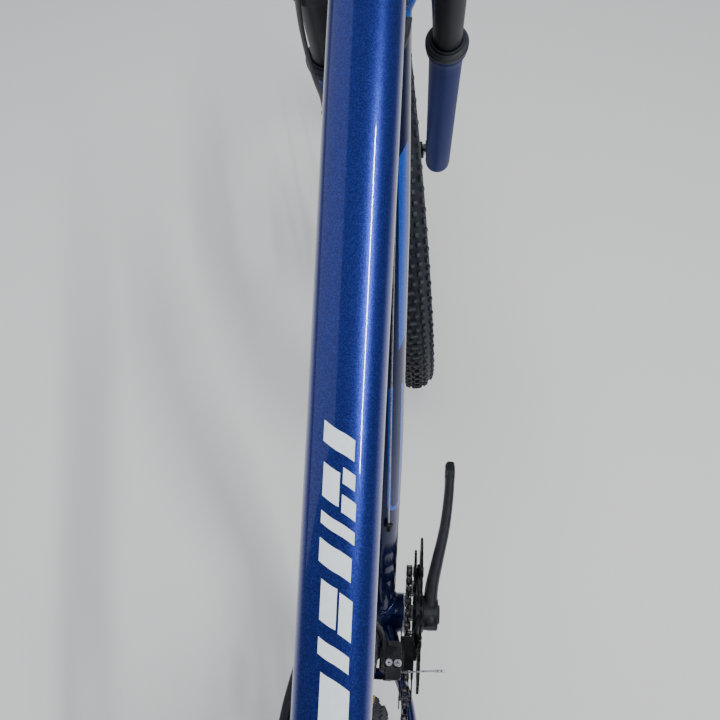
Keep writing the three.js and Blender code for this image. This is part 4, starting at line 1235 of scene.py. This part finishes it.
# ---- Rear derailleur ----
rd = Shape()
rd.put(bar((-434, -88, 312), (-434, -73.9, 312), 10, edge=1.5, sides=44))
rd.put(Shape().put(screw(5.5, 1.5, kind=1), turn("X", 90)), shift(-434, -88, 312))
rows = [
    [-438, -82, 308, 8, 5.5], [-440, -80, 296, 9, 5.5], [-434, -63, 280, 9, 5.5],
    [-428, -58, 274, 8, 5.5]
]
lean = Vector((0.5, 0, 0.87))
stations = [(Vector(r[:3]), lean, LEFT, r[3], r[4]) for r in spline(rows, 8)]
rd.put(loft(stations, 3, 36))
rd.put(bar((guide_at.x, -66, guide_at.z), (guide_at.x, -48.4, guide_at.z), 12, edge=1.5, sides=44))
rd.put(bar((-449, -80, 314), (-455, -80, 322), 3.4, kind=0))
rd.put(bar((-455, -80, 322), (-461, -80, 330), 4.2, 3.6, kind=0))
build(
    "rear_mech_body", rd, [BLACK_METAL, STEEL], BIKE, "frame",
    ["rear_derailleur_body"], bevel=0.5
)


def cage_plate(y, kind=0):
    down = (Vector((tension_at.x, tension_at.z)) - Vector((guide_at.x, guide_at.z))).normalized()
    side = math.degrees(math.atan2(down.y, down.x))
    ring = []
    for centre, start in ((guide_at, side + 90), (tension_at, side - 90)):
        for a in range(0, 181, 12):
            angle = math.radians(start + a)
            ring.append((centre.x + 8.6 * math.cos(angle), centre.z + 8.6 * math.sin(angle)))
    middle = (guide_at + tension_at) / 2
    cross = Vector((-down.y, down.x))
    holes = []
    for shift_ in (-16, 16):
        centre = Vector((middle.x, middle.z)) + down * shift_
        holes.append([tuple(centre + down * x + cross * y_) for x, y_ in oval(11, 4, 3, 24)])
    flat = plate([ring, *holes], -y - 0.7, -y + 0.7, kind)
    return Shape().put(flat, turn("X", 90))


rd_cage = Shape()
for y in (CHAIN_Y + 5, CHAIN_Y - 5):
    rd_cage.put(cage_plate(y))
for centre in (guide_at, tension_at):
    rd_cage.put(bar((centre.x, CHAIN_Y - 5.4, centre.z), (centre.x, CHAIN_Y + 5.4, centre.z), 2.5, kind=1))
    rd_cage.put(Shape().put(screw(4, 1.6, kind=1), ALONG_Y), shift(centre.x, CHAIN_Y + 5.6, centre.z))
build(
    "rear_mech_cage_plates", rd_cage, [BLACK_METAL, STEEL], BIKE, "rear_mech_cage",
    ["rear_derailleur_cage"], bevel=0.3
)
for name, centre in (("guide_pulley", guide_at), ("tension_pulley", tension_at)):
    wheel_shape = plate([gear(11, 2.2, -4.2), circle(6.2, 32)], -1.2, 1.2)
    wheel_shape.put(plate([circle(14.5, 44), circle(6.2, 32)], -2.3, 2.3))
    wheel_shape.put(lathe([(2.8, -2.4), (6.1, -2.4), (6.1, 2.4), (2.8, 2.4)], 32, 1))
    place = Shape().put(wheel_shape, shift(centre.x, CHAIN_Y, centre.z) @ AXLE)
    build(name + "_skin", place, [PLASTIC, STEEL], BIKE, name, [name], bevel=0.25)


# ---- Gear cable on the down tube ----
def beside(share, clear):
    """A point above the right of the down tube, clear of it."""
    at, up, _, _ = down_skin.section(down_skin.length * share)
    spot = at + up * (21.5 + clear)
    return Vector((spot.x, -16 - clear, spot.z))


run = [beside(share, 2.6) for share in (0.2, 0.35, 0.5, 0.65, 0.8, 0.856)]
stop_low, stop_high = beside(0.863, 4.6), beside(0.893, 8.5)
ahead = (stop_high - stop_low).normalized()
cable = tube(spline([*run, stop_low + ahead * 3], 12), 0.8, 10)
lower_stop = between(run[0], run[1])[0]
cable.put(rod(9, 2.8, 2.6, 0.5, 20, 1), lower_stop)
cable.put(rod(6, 2, 2.6, 0.4, 20, 1), lower_stop @ shift(0, -2.2, 1.5))
build("gear_cable_skin", cable, [STEEL, BLACK_METAL], BIKE, "frame", ["gear_cable"])
stop = bar(stop_low, stop_low + ahead * 9, 3.2, 4.1, sides=28)
stop.put(bar(stop_low + ahead * 9, stop_high, 4.4, 4.0, sides=28))
stop.put(bar(stop_low.lerp(stop_high, 0.6), stop_low.lerp(stop_high, 0.6) + Vector((3, 5, -4)), 3, sides=20))
build("cable_stop_skin", stop, [SEAL], BIKE, "frame", ["cable_stop"])
housing_line = [stop_high - ahead * 4, beside(0.899, 9.2), beside(0.921, 15)]
housing_line += [Vector((417, -38, 832)), Vector((412, -43, 872)), Vector((396, -42, 912))]
housing = tube(spline(housing_line, 12), 2.5, 20)
housing.put(bar(Vector((397.5, -42.1, 908)), Vector((392.8, -41.8, 918)), 3, 2.8, kind=1))
build("gear_housing_skin", housing, [HOUSING, SEAL], BIKE, "frame", ["gear_cable_housing"])

# ---- Fork ----
LEG_X, LEG_Y = 12, 62
steerer = rod(206, 14.3, edge=0.6, sides=56)
build(
    "steerer_skin", Shape().put(steerer, shift(0, 0, 458)), [ANODISED], FORK, "fork_upper",
    ["steerer_tube"]
)

CROWN = [
    [12, -70, 451, 14, 8],
    [12, -66, 451, 18, 10],
    [12, -62, 451, 20, 10.5],
    [9, -40, 459, 19, 11],
    [3, -20, 467, 22, 11],
    [0, 0, 469, 24, 10.5],
    [3, 20, 467, 22, 11],
    [9, 40, 459, 19, 11],
    [12, 62, 451, 20, 10.5],
    [12, 66, 451, 18, 10],
    [12, 70, 451, 14, 8],
]
forward = Vector((1, 0, 0))
crown = loft([(Vector(r[:3]), forward, UP, r[3], r[4]) for r in spline(CROWN, 8)], 3, 48)
crown.put(rod(24, 20, edge=1.0, sides=64), shift(0, 0, 456))
for side in (-1, 1):
    eye = lathe([(15.2, 440), (20.6, 440), (21.5, 441), (21.5, 461), (20.6, 462), (15.2, 462)], 64)
    crown.put(eye, shift(LEG_X, side * LEG_Y, 0))
    crown.put(rod(5, 15, 14, 1, 48, 1), shift(LEG_X, side * LEG_Y, 461))
    crown.put(rod(5, 8, 6.5, 0.8, 32, 1), shift(LEG_X, side * LEG_Y, 466))
build(
    "fork_crown_skin", crown, [ANODISED, BLACK_METAL], FORK, "fork_upper",
    ["fork_crown"], bevel=0.6
)

LEG_FOOT = 20  # above the axle
FORK_RAKE = 44
LEG = [
    # radius of the leg at heights above the axle
    (7, 20), (11.5, 20.6), (14.6, 23), (16.4, 27), (17, 33), (17.1, 90), (17.4, 200),
    (17.9, 290), (18.4, 302), (19.2, 308), (20.6, 312), (21.5, 315), (21.5, 319), (21.2, 320),
]


def leg(side):
    outer = [(r, z) for r, z in LEG]
    profile = outer + [(15.6, 320), (15.3, 319), (15.3, 92), (0.01, 92), (0.01, LEG_FOOT)]
    shape = lathe(profile, 72)
    outline = [(5, LEG_FOOT + 9), (FORK_RAKE - 8, -10)]
    outline += arc(FORK_RAKE, 0, 13, range(-120, 61, 15))
    outline += [(28, 62), (6, 84)]
    flat = plate([outline, circle(5.3, 32, FORK_RAKE, 0), oval_hole(27, 27)], 50.3, 58)
    to_side = turn("X", 90)
    tip = Shape().put(flat, to_side if side < 0 else shift(0, 108.3, 0) @ to_side)
    return Shape().put(shape, shift(LEG_X, side * LEG_Y, 0)).put(tip)


def oval_hole(x, z):
    return [(x + a, z + b) for a, b in oval(3, 7, 2, 20)]


ARCH = [
    (20, -58.5, 288), (36, -58, 300), (43, -57, 322), (45, -55, 350), (46, -50, 378),
    (46, -38, 396), (46, -20, 403), (46, 0, 404), (46, 20, 403), (46, 38, 396),
    (46, 50, 378), (45, 55, 350), (43, 57, 322), (36, 58, 300), (20, 58.5, 288),
]
lowers = leg(-1).put(leg(1))
lowers.put(tube(spline(ARCH, 10), lambda u: 6.4 + 1.2 * math.cos(2 * math.pi * (u - 0.5)) ** 2, 28))
rib = [Vector((x + 6, y * 0.97, z + 1)) for x, y, z in ARCH[3:-3]]
lowers.put(tube(spline(rib, 10), 2.4, 12))
for z in (42, 108):
    lowers.put(bar((8, 52, z), (-16, 45, z - 6), 7, 6, sides=28))
foot_parts = Shape()
for side in (-1, 1):
    foot_parts.put(rod(4, 5.6, 5.0, 0.6, 28), shift(LEG_X, side * LEG_Y, LEG_FOOT - 3))
    foot_parts.put(rod(9, 2.4, 2.8, 0.8, 24), shift(LEG_X, side * LEG_Y, LEG_FOOT - 11))
build("fork_lowers_skin", lowers, [FORK_BLUE], FORK, "fork_lower", ["fork_lowers"], bevel=0.5)
build("fork_foot_knobs", foot_parts, [ANODISED], FORK, "fork_lower")
clips = Shape()
for z, y, x in ((250, 75, -10.4), (180, 70, -12)):
    clips.put(lathe([(2.6, -4), (4.2, -4), (4.2, 4), (2.6, 4)], 28), shift(x, y, z))
    clips.put(bar((x + 3, y - 2, z), (x + 9, y - 5, z), 2.6, 3.4, sides=20))
build("hose_clips", clips, [ANODISED], FORK, "fork_lower", bevel=0.2)
for name, side in (("right", -1), ("left", 1)):
    tube_leg = rod(265, 15, edge=0.3, sides=72)
    place = shift(LEG_X, side * LEG_Y, 196)
    build(
        "stanchion_%s_skin" % name, Shape().put(tube_leg, place), [ANODISED], FORK, "fork_upper",
        ["stanchion_" + name]
    )
    seal = lathe([(15.2, 0), (21.6, 0), (22.4, 0.8), (22.5, 6), (21.6, 7.4), (20.6, 7.8), (20.2, 9.2), (
        18.6, 10.2
    ),
                  (18.2, 9.4), (17.6, 9.4), (17.3, 12.4), (16.6, 13), (15.5, 12.6)], 72)
    place = shift(LEG_X, side * LEG_Y, 320.3)
    build(
        "wiper_%s_skin" % name, Shape().put(seal, place), [SEAL], FORK, "fork_lower",
        ["wiper_" + name]
    )

HOSE_RUN = [
    (-19.6, 34.7, 63.6), (-25, 36, 74), (-25, 46, 108), (-18, 60, 145), (-12, 70, 180), (-10, 75, 230),
    (-12, 74, 290), (-13, 75.5, 320), (-12, 77, 350), (-11, 77.5, 380), (-11, 76.5, 420), (-13, 74.5, 450),
    (-17, 72, 480),
]
hose = tube(spline(HOSE_RUN, 8), 2.5, 20)
hose.put(bar(HOSE_RUN[0], HOSE_RUN[1], 3.4, 3.0, kind=1)).put(bar(
    Vector((-16, 72.6, 471)), HOSE_RUN[-1], 3.4, kind=1
))
build("front_hose_skin", hose, [HOSE, BLACK_METAL], FORK, "fork_lower", ["front_brake_hose"])

# ---- Floor and light ----
floor = bpy.data.objects.new("floor", bpy.data.meshes.new("floor"))
floor.data.from_pydata(
    [(-9, -9, -0.001), (9, -9, -0.001), (9, 9, -0.001), (-9, 9, -0.001)], [], [[0, 1, 2, 3]]
)
bpy.context.scene.collection.objects.link(floor)
pale, _, _ = look("floor_pale", (0.9, 0.9, 0.9), 0.9)
floor.data.materials.append(pale)

world = bpy.data.worlds.new("studio")
bpy.context.scene.world = world
world.use_nodes = True
world.node_tree.nodes["Background"].inputs["Color"].default_value = (0.75, 0.82, 0.95, 1)
world.node_tree.nodes["Background"].inputs["Strength"].default_value = 0.14


def area_light(name, at, target, along, width, height, power, color=(1, 1, 1)):
    """A rectangle of light that faces the target, with its width along a direction."""
    data = bpy.data.lights.new(name, "AREA")
    data.shape = "RECTANGLE"
    data.size, data.size_y = width, height
    data.energy = power
    data.color = color
    light = bpy.data.objects.new(name, data)
    bpy.context.scene.collection.objects.link(light)
    back = (Vector(at) - Vector(target)).normalized()
    along = Vector(along)
    side = (along - back * along.dot(back)).normalized()
    light.matrix_world = Matrix.Translation(at) @ Matrix((side, back.cross(side), back)).transposed().to_4x4()
    return light


area_light("left_panel", (0.5, 1.45, 1.5), (0.5, 0.24, 0.0), (1, 0, 0), 2.1, 2.4, 8, (0.95, 0.97, 1))
area_light("strip", (-0.125, -0.845, 2.1), (0.0, 0, 0.8), (0.957, 0.29, 0), 0.95, 0.04, 20)
overhead = area_light("overhead", (0.3, -0.2, 3.4), (0, 0, 0.5), (1, 0, 0), 2.4, 2.4, 75)
overhead.visible_glossy = False
